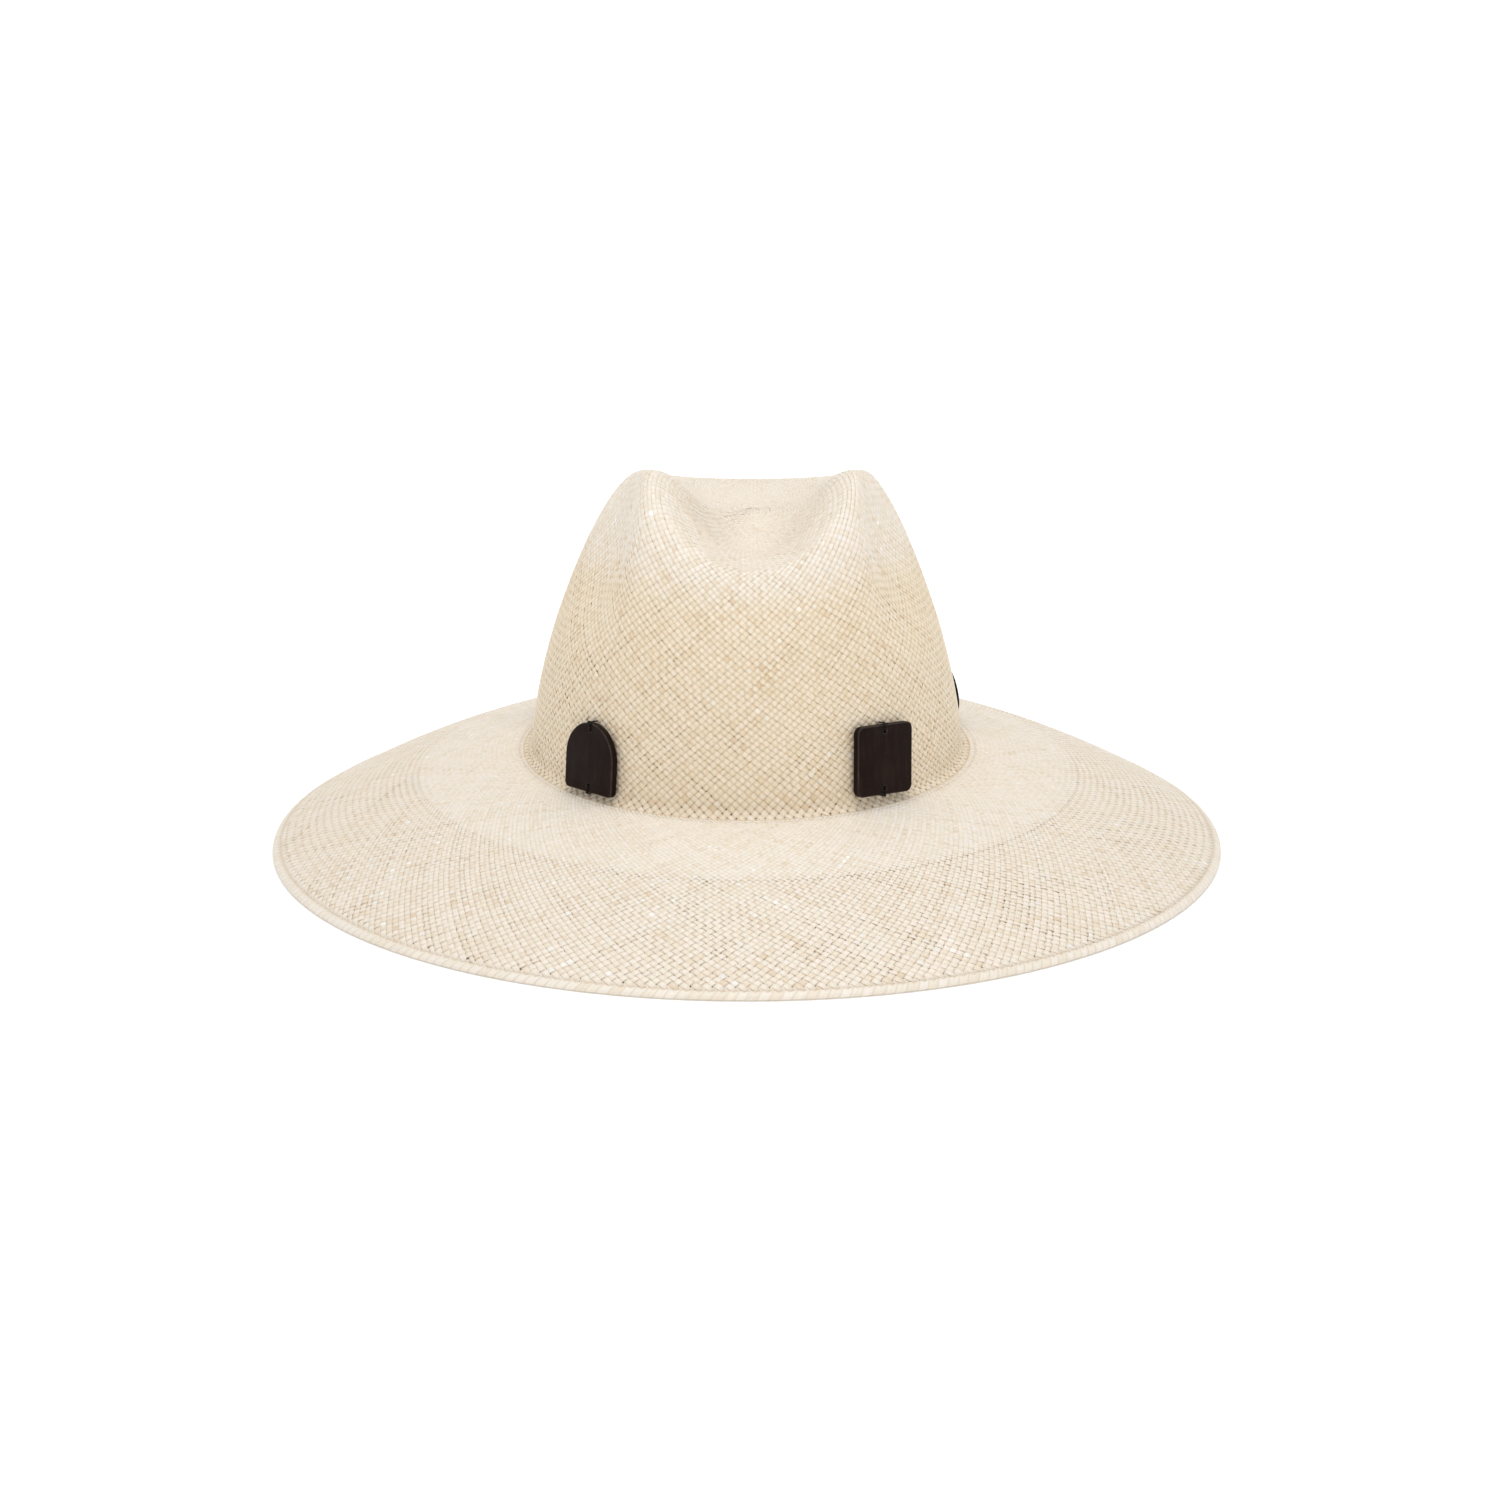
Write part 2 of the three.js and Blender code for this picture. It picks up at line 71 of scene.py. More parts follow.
# By the wrap the bow's loops have this much of their full depth and width, and all along
# this much of the ribbon's full thickness.
BOW_PINCHED, BOW_GATHERED, BOW_THINNED = 0.25, 0.62, 0.8
GAP = 0.3
PLATE_THICKNESS, PLATE_BEVEL = 3.0, 0.5
HOLE_RADIUS, HOLE_INSET, THREAD_RADIUS = 0.85, 2.6, 0.35
# Each has a name, its angle, height above the break, turn, width and height.
PLATES = (
    ("arch", -43.7, 16.2, 2, 28, 27.5),
    ("square", 37.2, 17.6, -6, 28.6, 27.6),
    ("circle", 110.5, 13, 0, 21, 21),
    ("triangle", 176.5, 17, 3, 30, 27),
    ("half_round", 242, 17, -2, 31, 19),
)


# ---- Small helpers ----
def unit(v):
    return v / np.linalg.norm(v, axis=-1, keepdims=True)


def bump(v):
    return np.cos(math.pi / 2 * np.clip(np.abs(v), 0, 1)) ** 2


def lerp(a, b, t):
    return a + (b - a) * t


def bezier(t, a, b, c, d):
    s = 1 - t
    return s**3 * a + 3 * s * s * t * b + 3 * s * t * t * c + t**3 * d


def run_along(points):
    """How far along its line each point lies."""
    run = np.cumsum(np.linalg.norm(np.diff(points, axis=-2), axis=-1), axis=-1)
    return np.concatenate([np.zeros((*run.shape[:-1], 1)), run], axis=-1)


def signed_degrees(angle):
    return (np.degrees(angle) + 180) % 360 - 180


# ---- The straw's outer surface ----
FLARE_TURN = math.pi / 2 - math.atan(BRIM_START_SLOPE)
FLARE_END = FLARE * (1 - math.cos(FLARE_TURN))


def brim_fall(out):
    run = BRIM_REACH - FLARE_END
    share = np.clip((out - FLARE_END) / run, 0, None)
    straight = BRIM_START_SLOPE * run
    return straight * share + (BRIM_DROP - straight) * share**BRIM_CURVE


def oval_point(angle, out, z):
    x, y = np.sin(angle), -np.cos(angle)
    n = np.hypot(x / HALF_WIDTH, y / HALF_LENGTH)
    nx, ny = x / HALF_WIDTH / n, y / HALF_LENGTH / n
    return np.stack(
        np.broadcast_arrays(HALF_WIDTH * x + nx * out, HALF_LENGTH * y + ny * out, z), -1
    )


def pinch(degrees, along):
    side = np.abs(degrees) - PINCH_ANGLE
    spread = np.where(side < 0, PINCH_FRONT_SPREAD, PINCH_BACK_SPREAD)
    rise = along - PINCH_DEEPEST
    below = bump(rise / (PINCH_DEEPEST - PINCH_BOTTOM))
    above = lerp(PINCH_AT_CREST, 1, bump(rise / (PINCH_TOP - PINCH_DEEPEST)))
    return PINCH_DEPTH * bump(side / spread) * np.where(rise < 0, below, above)


def crown_point(angle, along):
    """A place on the crown. along is -1 where the flare meets the brim, 0 at the wall's foot,
    1 at the crest and 2 in the middle of the dent."""
    angle, along = np.broadcast_arrays(angle, along)
    degrees = signed_degrees(angle)
    front = np.cos(angle)
    lip = (1 - np.clip(np.abs(degrees) / LIP_HALF_ANGLE, 0, 1) ** LIP_FLATNESS) ** LIP_FADE
    high = CREST_HEIGHT + CREST_TILT * front - LIP_DIP * lip
    reach = CREST_REACH + CREST_REACH_FRONT * ((1 + front) / 2) ** CREST_REACH_POWER
    shoulder = lerp(SHOULDER, SHOULDER_FRONT, bump(degrees / SHOULDER_SPREAD))
    shoulder = shoulder + PEAK_SHOULDER * bump((np.abs(degrees) - PEAK_ANGLE) / PEAK_SPREAD)
    wall, dent = np.clip(along, 0, 1), np.clip(along - 1, 0, 1)
    sink = SINK_DEPTH * bump(degrees / SINK_SPREAD) * bump((dent - SINK_MIDDLE) / SINK_LENGTH)
    share = np.where(
        dent > 0,
        bezier(dent, reach, reach - DENT_SHOULDER, DENT_FLOOR, 0),
        bezier(wall, 1, WALL_LEAN, reach + shoulder, reach),
    )
    height = np.where(
        dent > 0,
        bezier(dent, high, high, FLOOR_HEIGHT, FLOOR_HEIGHT) - sink,
        bezier(wall, FLARE, WALL_STRAIGHT, high, high),
    )
    share = share * (1 - pinch(degrees, along))
    crown = np.stack(
        [
            share * HALF_WIDTH * np.sin(angle) + CREST_SHIFT * wall**3,
            -share * HALF_LENGTH * np.cos(angle),
            BREAK_Z + height,
        ],
        -1,
    )
    turned = np.clip(-along, 0, 1) * FLARE_TURN
    flare = oval_point(
        angle, FLARE * (1 - np.cos(turned)), BREAK_Z + FLARE * (1 - np.sin(turned))
    )
    return np.where((along < 0)[..., None], flare, crown)


# The plait runs at an even pitch from the brim to the middle of the dent, so its rows follow
# share, the part of the way along each meridian, from 0 at the brim to 1 at the middle.
TABLE_ANGLES, TABLE_SHARES, TABLE_STEPS = 240, 400, 600
ROW_DROOP, ROW_DROOP_BY = 0.035, 0.14


def share_table():
    """The along of every share, for angles all round."""
    angle = np.linspace(0, TAU, TABLE_ANGLES + 1)
    along = np.linspace(-1, 2, TABLE_STEPS)
    p = crown_point(angle[:, None], along[None])
    run = run_along(p)
    share = np.linspace(0, 1, TABLE_SHARES + 1)
    along_at = [np.interp(share, r / r[-1], along) for r in run]
    return np.array(along_at), run[:, -1]


ALONG_AT, MERIDIANS = share_table()
MERIDIAN = MERIDIANS.mean()


def crown_fabric(angle, share):
    angle, share = np.broadcast_arrays(angle, share)
    u = (angle % TAU) / TAU * TABLE_ANGLES
    i = np.minimum(u.astype(int), TABLE_ANGLES - 1)
    meridian = lerp(MERIDIANS[i], MERIDIANS[i + 1], u - i)
    fade = np.clip(1 - share, 0, 1) ** 2
    near_brim = np.sin(math.pi / 2 * np.clip(share / ROW_DROOP_BY, 0, 1))
    droop = ROW_DROOP * np.sin(angle) ** 2 * near_brim
    share = share * (1 + (MERIDIAN / meridian - 1) * fade) - droop * fade
    v = np.clip(share, 0, 1) * TABLE_SHARES
    j = np.minimum(v.astype(int), TABLE_SHARES - 1)
    u, v = u - i, v - j
    low = lerp(ALONG_AT[i, j], ALONG_AT[i + 1, j], u)
    high = lerp(ALONG_AT[i, j + 1], ALONG_AT[i + 1, j + 1], u)
    return crown_point(angle, lerp(low, high, v))


# The straw is double, and so a little higher, where its ends are woven back near the rim.
RIDGE_RISE, RIDGE_IN, RIDGE_SPREAD = 0.3, 6.2, 2.8


def brim_fabric(angle, out):
    rise = RIDGE_RISE * bump((BRIM_REACH - RIDGE_IN - out) / RIDGE_SPREAD)
    return oval_point(angle, out, BREAK_Z - brim_fall(out) + rise)


def outward(surface, angle, place):
    """The surface's outward direction."""
    turn, step = 0.01, -0.5 if surface is brim_fabric else 0.004
    right = surface(angle + turn, place) - surface(angle - turn, place)
    up = surface(angle, place + step) - surface(angle, place - step)
    return unit(np.cross(right, up))


# ---- Making meshes ----
def add_piece(name, points, faces, nodes, material, layers):
    """faces is a list of arrays, each with one row of corners for every face."""
    mesh = bpy.data.meshes.new(name)
    mesh.vertices.add(len(points))
    mesh.vertices.foreach_set("co", (points * MM).astype(np.float32).ravel())
    corners = np.concatenate([f.ravel() for f in faces]).astype(np.int32)
    sizes = np.concatenate([np.full(len(f), f.shape[1]) for f in faces])
    mesh.loops.add(len(corners))
    mesh.loops.foreach_set("vertex_index", corners)
    mesh.polygons.add(len(sizes))
    starts = np.concatenate([[0], np.cumsum(sizes)[:-1]]).astype(np.int32)
    mesh.polygons.foreach_set("loop_start", starts)
    mesh.polygons.foreach_set("use_smooth", np.full(len(sizes), True))
    mesh.update(calc_edges=True)
    for key, values in layers.items():
        kind = "FLOAT_VECTOR" if values.ndim == 2 else "FLOAT"
        layer = mesh.attributes.new(key, kind, "POINT")
        field = "vector" if values.ndim == 2 else "value"
        layer.data.foreach_set(field, values.astype(np.float32).ravel())
    mesh.validate()
    return declare(mesh, name, nodes, material)


def new_object(name, data):
    thing = bpy.data.objects.new(name, data)
    bpy.context.scene.collection.objects.link(thing)
    return thing


def declare(mesh, name, nodes, material):
    piece = new_object(name, mesh)
    mesh.materials.append(material)
    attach(piece, "root")
    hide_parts(*nodes)
    return piece


class Parts:
    """Gathers several sets of points and faces that make one piece."""

    def __init__(self):
        self.points, self.faces, self.layers, self.size = [], [], [], 0

    def add(self, points, faces, layers):
        self.points.append(points)
        self.faces += [f + self.size for f in faces]
        self.layers.append(layers)
        self.size += len(points)

    def piece(self, name, nodes, slot, material):
        keys = self.layers[0]
        layers = {k: np.concatenate([x[k] for x in self.layers]) for k in keys}
        points = np.concatenate(self.points)
        add_piece(name, points, self.faces, nodes, material, layers)


def facing_out(points, quads):
    """True if the faces of a closed mesh face out."""
    a, b, c, d = (points[quads[:, i]] for i in range(4))
    middle = points.mean(0)
    a, b, c, d = a - middle, b - middle, c - middle, d - middle
    volume = (a * np.cross(b, c)).sum() + (a * np.cross(c, d)).sum()
    return volume > 0


def closed_grid(points):
    """The numbers of a grid's points and its faces, when it is closed both ways."""
    index = np.arange(points.shape[0] * points.shape[1]).reshape(points.shape[:2])
    after = np.roll(index, -1, 0)
    quads = [index, np.roll(index, -1, 1), np.roll(after, -1, 1), after]
    return index, np.stack(quads, -1).reshape(-1, 4)


def sweep(centre, side, normal, half_width, half_thick, section, closed=False):
    """Strands, each a section carried along a line: centre is (strand, step, xyz)."""
    strands, steps, _ = centre.shape
    x, y = section.T
    across = (half_width[..., None] * x)[..., None]
    above = (half_thick[..., None] * y)[..., None]
    points = centre[:, :, None] + side[:, :, None] * across + normal[:, :, None] * above
    index = np.arange(strands * steps * len(x)).reshape(strands, steps, len(x))
    after = np.roll(index, -1, axis=1) if closed else index[:, 1:]
    before = index if closed else index[:, :-1]
    quads = [before, np.roll(before, -1, 2), np.roll(after, -1, 2), after]
    quads = np.stack(quads, -1).reshape(-1, 4)
    faces = [quads] if closed else [quads, index[:, 0, ::-1], index[:, -1]]
    points = points.reshape(-1, 3)
    if not facing_out(points[: steps * len(x)], quads[: len(quads) // strands]):
        faces = [f[:, ::-1] for f in faces]
    return points, faces


# ---- Plain weave ----
# A strand's section: its flat face with rolled edges, and a shallow keel under it.
STRAND_SECTION = np.array([[-1, 0], [-0.76, 0.8], [0.76, 0.8], [1, 0], [0, -0.9]])
# Where a strand crosses over another it has three sections, and where it goes under, one.
OVER_SHARE = 0.37
OVER_EDGE_LEVEL, OVER_EDGE_WIDTH, UNDER_LEVEL, UNDER_WIDTH = 0.5, 0.98, -1.0, 0.97
END_LEVEL, END_WIDTH, LAST_WIDTH = -1.25, 0.9, 0.6
MOST_LIFT, LIFT_SHARE = 0.32, 0.13
MOST_HALF_THICK, HALF_THICK_SHARE = 0.3, 0.12
FIT = 1.02
THINNING, THIN_STRANDS, THIN_GAIN, THIN_START = 0.28, 0.24, 1.6, 0.3
ROW_ASPECT = 0.9
# How far strands stray sideways and in width, and how fast along the rows.
STRAY, SWAY, SWAY_WAVE = 0.03, 0.03, 0.23
WANDER, WANDER_WAVE, THIN_WAVE = 0.02, 0.6, 0.19
# How pale the straw is at places up the crown and out along the brim, as painted top light:
# the dent, crests and brim paler and cooler than the wall. Above 1 its painted grooves are
# fainter too, its strands flatter and its gaps closer, as on the photographed brim's finer
# inner part.
CROWN_PALE = ((0.0, 0.025, 0.45, 0.6), (0.5, 0.0, 0.0, 1.8))
BRIM_PALE = ((42.0, 49.0), (2.0, 0.9))
FINE_FLATTER, FINE_CLOSER = 0.4, 0.8
OPEN_ROW_REACH = 1.3
OPEN_ROWS = ((FLARE_END + 1.8, 0.5), (47.0, 0.3))


class Zone:
    """A ring of the weave with the same number of strands all through, from low to high."""

    def __init__(self, surface, low, high, count, lean, pale_at, **more):
        self.surface, self.count, self.lean, self.pale_at = surface, count, lean, pale_at
        self.open_rows = more.get("open_rows", ())
        self.last_level = more.get("last_level", END_LEVEL)
        rows = more.get("rows")
        angle = np.linspace(0, TAU, 90, endpoint=False)
        place = np.linspace(low, high, 160)
        p = surface(angle[None], place[:, None])
        ring = np.linalg.norm(np.roll(p, -1, 1) - p, axis=-1).sum(1)
        climb = np.linalg.norm(np.diff(p, axis=0), axis=-1).mean(1)
        pitch = (ring[1:] + ring[:-1]) / 2 / count
        even = climb if rows else climb / (ROW_ASPECT * pitch / 2)
        row_at = np.concatenate([[0], np.cumsum(even)])
        self.rows = rows or int(round(row_at[-1]))
        self.row_at = row_at * self.rows / row_at[-1]
        self.place_at = place
        self.tone = random.random((2, count))
        self.shift = random.normal(0, STRAY, (2, count))
        self.phase = random.random((2, count, 3)) * TAU
        self.narrow = random.random((2, count)) < THIN_STRANDS
        self.cell = random.random((2, count, self.rows + 1))

    def sections(self, family):
        """The row, level and width of each section along a strand of a family."""
        found = []
        for row in range(self.rows + 1):
            if row % 2 != family:
                found.append((row, UNDER_LEVEL, UNDER_WIDTH))
                continue
            for side in (-1, 0, 1):
                level, width = (1.0, 1.0) if side == 0 else (OVER_EDGE_LEVEL, OVER_EDGE_WIDTH)
                found.append((row + side * OVER_SHARE, level, width))
        found = [f for f in found if 0 < f[0] < self.rows]
        first = (0.0, END_LEVEL, END_WIDTH)
        last_width = END_WIDTH if self.last_level == END_LEVEL else LAST_WIDTH
        return np.array([first, *found, (float(self.rows), self.last_level, last_width)]).T

    def strands(self, family, chosen):
        row, level, share = self.sections(family)
        phase = self.phase[family, chosen]
        way = 1 if family == 0 else -1
        sway = SWAY * np.sin(row * SWAY_WAVE + phase[:, :1])
        sway = sway + self.shift[family, chosen][:, None]
        strand = np.asarray(chosen)[:, None] + sway
        angle = TAU / self.count * (strand + way * row / 2 + self.lean * row)
        place = np.broadcast_to(np.interp(row, self.row_at, self.place_at), angle.shape)
        centre = self.surface(angle, place)
        normal = outward(self.surface, angle, place)
        tangent = unit(np.gradient(centre, axis=1))
        side = unit(np.cross(tangent, normal))
        next_strand = self.surface(angle + TAU / self.count, place) - centre
        spacing = np.abs((next_strand * side).sum(-1))

        pale = np.interp(place, *self.pale_at)
        fine = np.clip(pale - 1, 0, 1)
        lift = np.minimum(MOST_LIFT, LIFT_SHARE * spacing) * (1 - FINE_FLATTER * fine)
        thick = np.minimum(MOST_HALF_THICK, HALF_THICK_SHARE * spacing)
        thinning = np.clip(np.sin(row * THIN_WAVE + phase[:, 1:2]) * THIN_GAIN - THIN_START, 0, 1)
        wander = WANDER * np.sin(row * WANDER_WAVE + phase[:, 2:])
        thin = THINNING * thinning * self.narrow[family, chosen][:, None]
        thin = thin * (1 - FINE_CLOSER * fine)
        for at, loss in self.open_rows:
            own = loss * (0.4 + 0.6 * self.tone[family, chosen][:, None])
            thin = thin + own * bump((place - at) / OPEN_ROW_REACH)
        width = spacing / 2 * share * (FIT + wander - thin)
        centre = centre - normal * (lift + thick - level * lift)[..., None]

        points, faces = sweep(centre, side, normal, width, thick, STRAND_SECTION)
        crossing = np.clip(np.round(row), 0, self.rows).astype(int)
        cell = self.cell[family, chosen][:, crossing]
        return points, faces, straw_layers(centre, self.tone[family, chosen], cell, level, pale)


def straw_layers(centre, tone, cell, level=1.0, pale=1.0):
    """What the straw's material reads: how far along and across the strand, its own tone and
    each cell's, how high it rides over the others, which sets its painted shade, and how pale
    it is, which sets its painted top light."""
    strands, steps, _ = centre.shape
    shape = (strands, steps, len(STRAND_SECTION))
    along = np.broadcast_to(run_along(centre)[..., None], shape)
    across = np.broadcast_to(STRAND_SECTION[:, 0], shape)
    tones = np.broadcast_to(tone[:, None, None], shape)
    weave = [
        np.broadcast_to(np.broadcast_to(v, (strands, steps))[..., None], shape)
        for v in (cell, level, pale)
    ]
    layers = np.stack([along, across, tones], -1).reshape(-1, 3)
    return {"straw": layers, "weave": np.stack(weave, -1).reshape(-1, 3)}


# ---- Materials ----
def new_material(name):
    material = bpy.data.materials.new(name)
    material.use_nodes = True
    tree = material.node_tree
    return material, tree, tree.nodes["Principled BSDF"]


class Nodes:
    """Adds and links nodes in one material."""

    def __init__(self, tree):
        self.tree = tree

    def put(self, socket, value):
        if isinstance(value, bpy.types.NodeSocket):
            self.tree.links.new(value, socket)
        else:
            socket.default_value = value

    def math(self, operation, *values, clamp=False):
        node = self.tree.nodes.new("ShaderNodeMath")
        node.operation, node.use_clamp = operation, clamp
        for socket, value in zip(node.inputs, values, strict=False):
            self.put(socket, value)
        return node.outputs[0]

    def times(self, *values):
        return self.math("MULTIPLY", *values)

    def plus(self, *values, clamp=False):
        return self.math("ADD", *values, clamp=clamp)

    def attribute(self, name):
        node = self.tree.nodes.new("ShaderNodeAttribute")
        node.attribute_name = name
        return node

    def vector(self, *values):
        node = self.tree.nodes.new("ShaderNodeCombineXYZ")
        for socket, value in zip(node.inputs, values, strict=True):
            self.put(socket, value)
        return node.outputs[0]

    def split(self, vector):
        node = self.tree.nodes.new("ShaderNodeSeparateXYZ")
        self.put(node.inputs[0], vector)
        return node.outputs

    def noise(self, vector, scale, detail=2.0, roughness=0.5):
        node = self.tree.nodes.new("ShaderNodeTexNoise")
        self.put(node.inputs["Vector"], vector)
        node.inputs["Scale"].default_value = scale
        node.inputs["Detail"].default_value = detail
        node.inputs["Roughness"].default_value = roughness
        return node.outputs["Fac"]

    def ramp(self, value, *stops):
        node = self.tree.nodes.new("ShaderNodeValToRGB")
        self.put(node.inputs[0], value)
        spots = node.color_ramp.elements
        while len(spots) < len(stops):
            spots.new(0.5)
        for spot, (at, colour) in zip(spots, stops, strict=True):
            spot.position, spot.color = at, (*colour, 1)
        return node.outputs["Color"]

    def mix(self, share, a, b, kind="MIX"):
        node = self.tree.nodes.new("ShaderNodeMix")
        node.data_type, node.blend_type = "RGBA", kind
        self.put(node.inputs[0], share)
        for socket, value in ((node.inputs[6], a), (node.inputs[7], b)):
            self.put(socket, value if isinstance(value, bpy.types.NodeSocket) else (*value, 1))
        return node.outputs[2]

    def map(self, value, low, high, to_low, to_high):
        node = self.tree.nodes.new("ShaderNodeMapRange")
        for socket, x in zip(node.inputs, (value, low, high, to_low, to_high), strict=False):
            self.put(socket, x)
        return node.outputs[0]

    def wire(self, shader, colour, roughness, normal, specular):
        self.put(shader.inputs["Base Color"], colour)
        self.put(shader.inputs["Roughness"], roughness)
        self.put(shader.inputs["Normal"], normal)
        self.put(shader.inputs["Specular IOR Level"], specular)

    def bump(self, height, strength, distance):
        node = self.tree.nodes.new("ShaderNodeBump")
        node.inputs["Strength"].default_value = strength
        node.inputs["Distance"].default_value = distance
        self.put(node.inputs["Height"], height)
        return node.outputs["Normal"]


STRAW_STOPS = (
    (0.0, (0.74, 0.60, 0.43)),
    (0.12, (0.80, 0.68, 0.51)),
    (0.4, (0.83, 0.735, 0.575)),
    (0.62, (0.85, 0.77, 0.63)),
    (0.8, (0.88, 0.77, 0.63)),
    (0.92, (0.83, 0.78, 0.67)),
    (1.0, (0.95, 0.9, 0.79)),
)


# Painted light: the wall's tint is a painted warm shade, and pale straw takes a painted paler,
# cooler top light.
PAINTED_WALL_SHADE, PAINTED_TOP_LIGHT = (1.0, 0.98, 0.95), (1.02, 1.045, 1.13)
GROOVE_SHADE = (0.76, 0.64, 0.5)


def straw_material(name):
    material, tree, shader = new_material(name)
    n = Nodes(tree)
    along, across, tone = n.split(n.attribute("straw").outputs["Vector"])
    cell, level, pale = n.split(n.attribute("weave").outputs["Vector"])
    seed = n.times(tone, 311.0)
    fibre_at = n.vector(n.times(along, 0.12), n.times(across, 3.2), seed)
    fibre = n.noise(fibre_at, 1.6, 3.0, 0.6)
    stain = n.noise(n.vector(n.times(along, 0.05), seed, 0.0), 1.0, 2.0)
    pick = n.plus(n.times(cell, 0.45), n.times(tone, 0.35))
    pick = n.plus(pick, n.map(stain, 0.3, 0.7, -0.12, 0.3), clamp=True)
    colour = n.ramp(pick, *STRAW_STOPS)
    streak = n.map(fibre, 0.3, 0.75, 0.9, 1.05)
    colour = n.mix(1.0, colour, n.vector(streak, streak, streak), "MULTIPLY")
    # Painted shade: a dark tan line along each strand's edges, and a darker tone where a strand
    # dips under the others, both fainter where the straw is pale.
    groove = n.map(pale, 0.0, 2.0, 1.0, 0.35)
    edge = n.map(n.math("ABSOLUTE", across), 0.74, 1.0, 0.0, 0.55)
    colour = n.mix(n.times(edge, groove), colour, (0.52, 0.36, 0.2))
    low = n.times(n.map(level, -0.6, 0.85, 1.0, 0.0), groove)
    colour = n.mix(1.0, colour, n.mix(low, (1.0, 1.0, 1.0), GROOVE_SHADE), "MULTIPLY")
    # Painted top light: the paler the straw, the more of the paler, cooler tint it takes.
    painted_top_light_share = n.math("MINIMUM", pale, 1.0)
    colour = n.mix(1.0, colour, n.mix(painted_top_light_share, PAINTED_WALL_SHADE, PAINTED_TOP_LIGHT), "MULTIPLY")
    n.wire(shader, colour, n.map(fibre, 0.2, 0.8, 0.4, 0.6), n.bump(fibre, 0.35, 0.00012), 0.45)
    return material


straw = straw_material("straw")
edge_straw = straw_material("edge_straw")


# ---- Crown and brim ----
def plait(stem, node, slot, material, zones, shares):
    """Makes each family of strands in the zones, in as many pieces as shares says."""
    for family in range(2):
        groups = [Parts() for _ in range(shares)]
        for zone in zones:
            for group, chosen in zip(
                groups, np.array_split(np.arange(zone.count), shares), strict=True
            ):
                group.add(*zone.strands(family, chosen))
        for i, group in enumerate(groups):
            way = ("right", "left")[family]
            group.piece(f"{stem}_{way}_{i + 1}", [node], slot, material)


def from_middle(distance):
    """The share that lies so far from the middle of the dent, along the straw."""
    return 1 - distance / MERIDIAN


CROWN_STRANDS, CROWN_ROWS, CROWN_LEAN = 150, 94, -0.045
BRIM_STRANDS, BRIM_LEAN = 304, 0.045
WALL_TOP = from_middle(40)
wall = Zone(crown_fabric, 0, WALL_TOP, CROWN_STRANDS, CROWN_LEAN, CROWN_PALE, rows=CROWN_ROWS)
plait("crown_strands", "crown", "straw", straw, [wall], 3)
# Each ring of the tip lies between two distances from the middle of the dent and has so
# many strands. It laps the next ring by twice LAP, and the first one laps the wall by LAP.
LAP = 0.75
TIP_RINGS = ((40, 28, 108), (28, 18, 76), (18, 9.5, 44), (9.5, 3.5, 20))
tip = [
    Zone(crown_fabric, from_middle(a + LAP), from_middle(b - LAP), count, 0, CROWN_PALE)
    for a, b, count in TIP_RINGS
]
plait("tip_strands", "crown", "straw", straw, tip, 1)
# The brim's weave ends so far in from the rim, on top of the roll.
EDGE_INNER, LAST_LEVEL = 3.1, 0.5
brim = Zone(
    brim_fabric,
    FLARE_END,
    BRIM_REACH - EDGE_INNER,
    BRIM_STRANDS,
    BRIM_LEAN,
    BRIM_PALE,
    open_rows=OPEN_ROWS,
    last_level=LAST_LEVEL,
)
plait("brim_strands", "brim", "straw", straw, [brim], 4)


def make_rosette(radius=5.2, spacing=1.3, half_thick=0.16, half_fill=0.48, lift=0.14, sunk=0.42):
    """The small square-woven patch that the straw starts from, in the middle of the dent."""
    group = Parts()
    for family in range(2):
        places = np.arange(-radius + spacing / 2, radius, spacing)
        steps = np.arange(-radius, radius + 0.01, spacing / 2)
        a, b = np.meshgrid(places, steps, indexing="ij")
        half = np.sqrt(np.maximum(radius**2 - places**2, 1))[:, None]
        b = b * half / radius
        x, y = (a, b) if family == 0 else (b, a)

        def at(x, y):
            return crown_fabric(np.arctan2(x, -y), from_middle(np.hypot(x, y)))

        centre, step = at(x, y), 0.4
        rightwards, upwards = at(x + step, y) - at(x - step, y), at(x, y + step) - at(x, y - step)
        normal = unit(np.cross(rightwards, upwards))
        tangent = unit(np.gradient(centre, axis=1))
        side = unit(np.cross(tangent, normal))
        weave = np.arange(len(places))[:, None] * 2 + np.arange(len(steps))
        level = lift * np.cos(math.pi * weave / 2 + math.pi * family)
        centre = centre + normal * (level - sunk)[..., None]
        width = np.full(a.shape, spacing * half_fill)
        thick = np.full(a.shape, half_thick)
        points, faces = sweep(centre, side, normal, width, thick, STRAND_SECTION)
        tone = random.random(len(places))
        group.add(points, faces, straw_layers(centre, tone, random.random(a.shape)))
    group.piece("rosette", ["crown"], "straw", straw)


make_rosette()

# ---- The brim's woven-back edge ----
EDGE_STRANDS, EDGE_COLUMNS, EDGE_STEPS = 304, 9, 36
EDGE_SLANT, EDGE_GROOVE, EDGE_GROOVE_POWER = -1.8, 0.12, 5
# The roll has painted shade towards its foot, and is paler than the weave: more painted top light
# and fainter painted grooves.
EDGE_SHADE_HEIGHTS, EDGE_SHADE_LEVELS, EDGE_PALE = (0.1, 0.9), (-0.2, 1.0), 1.4
# The turned-back ends of the strands make a zigzag, so far in from the rim.
ZIGZAG_IN, ZIGZAG_REACH, ZIGZAG_SLOPE, ZIGZAG_DROP = 2.0, 1.2, 0.5, 0.25
# Painted shade darkens the zigzag, starting a little before its drop.
ZIGZAG_SHADE, ZIGZAG_SHADE_EARLY = 1.6, 0.8


def brim_top(inward):
    return BREAK_Z - float(brim_fall(BRIM_REACH - inward))


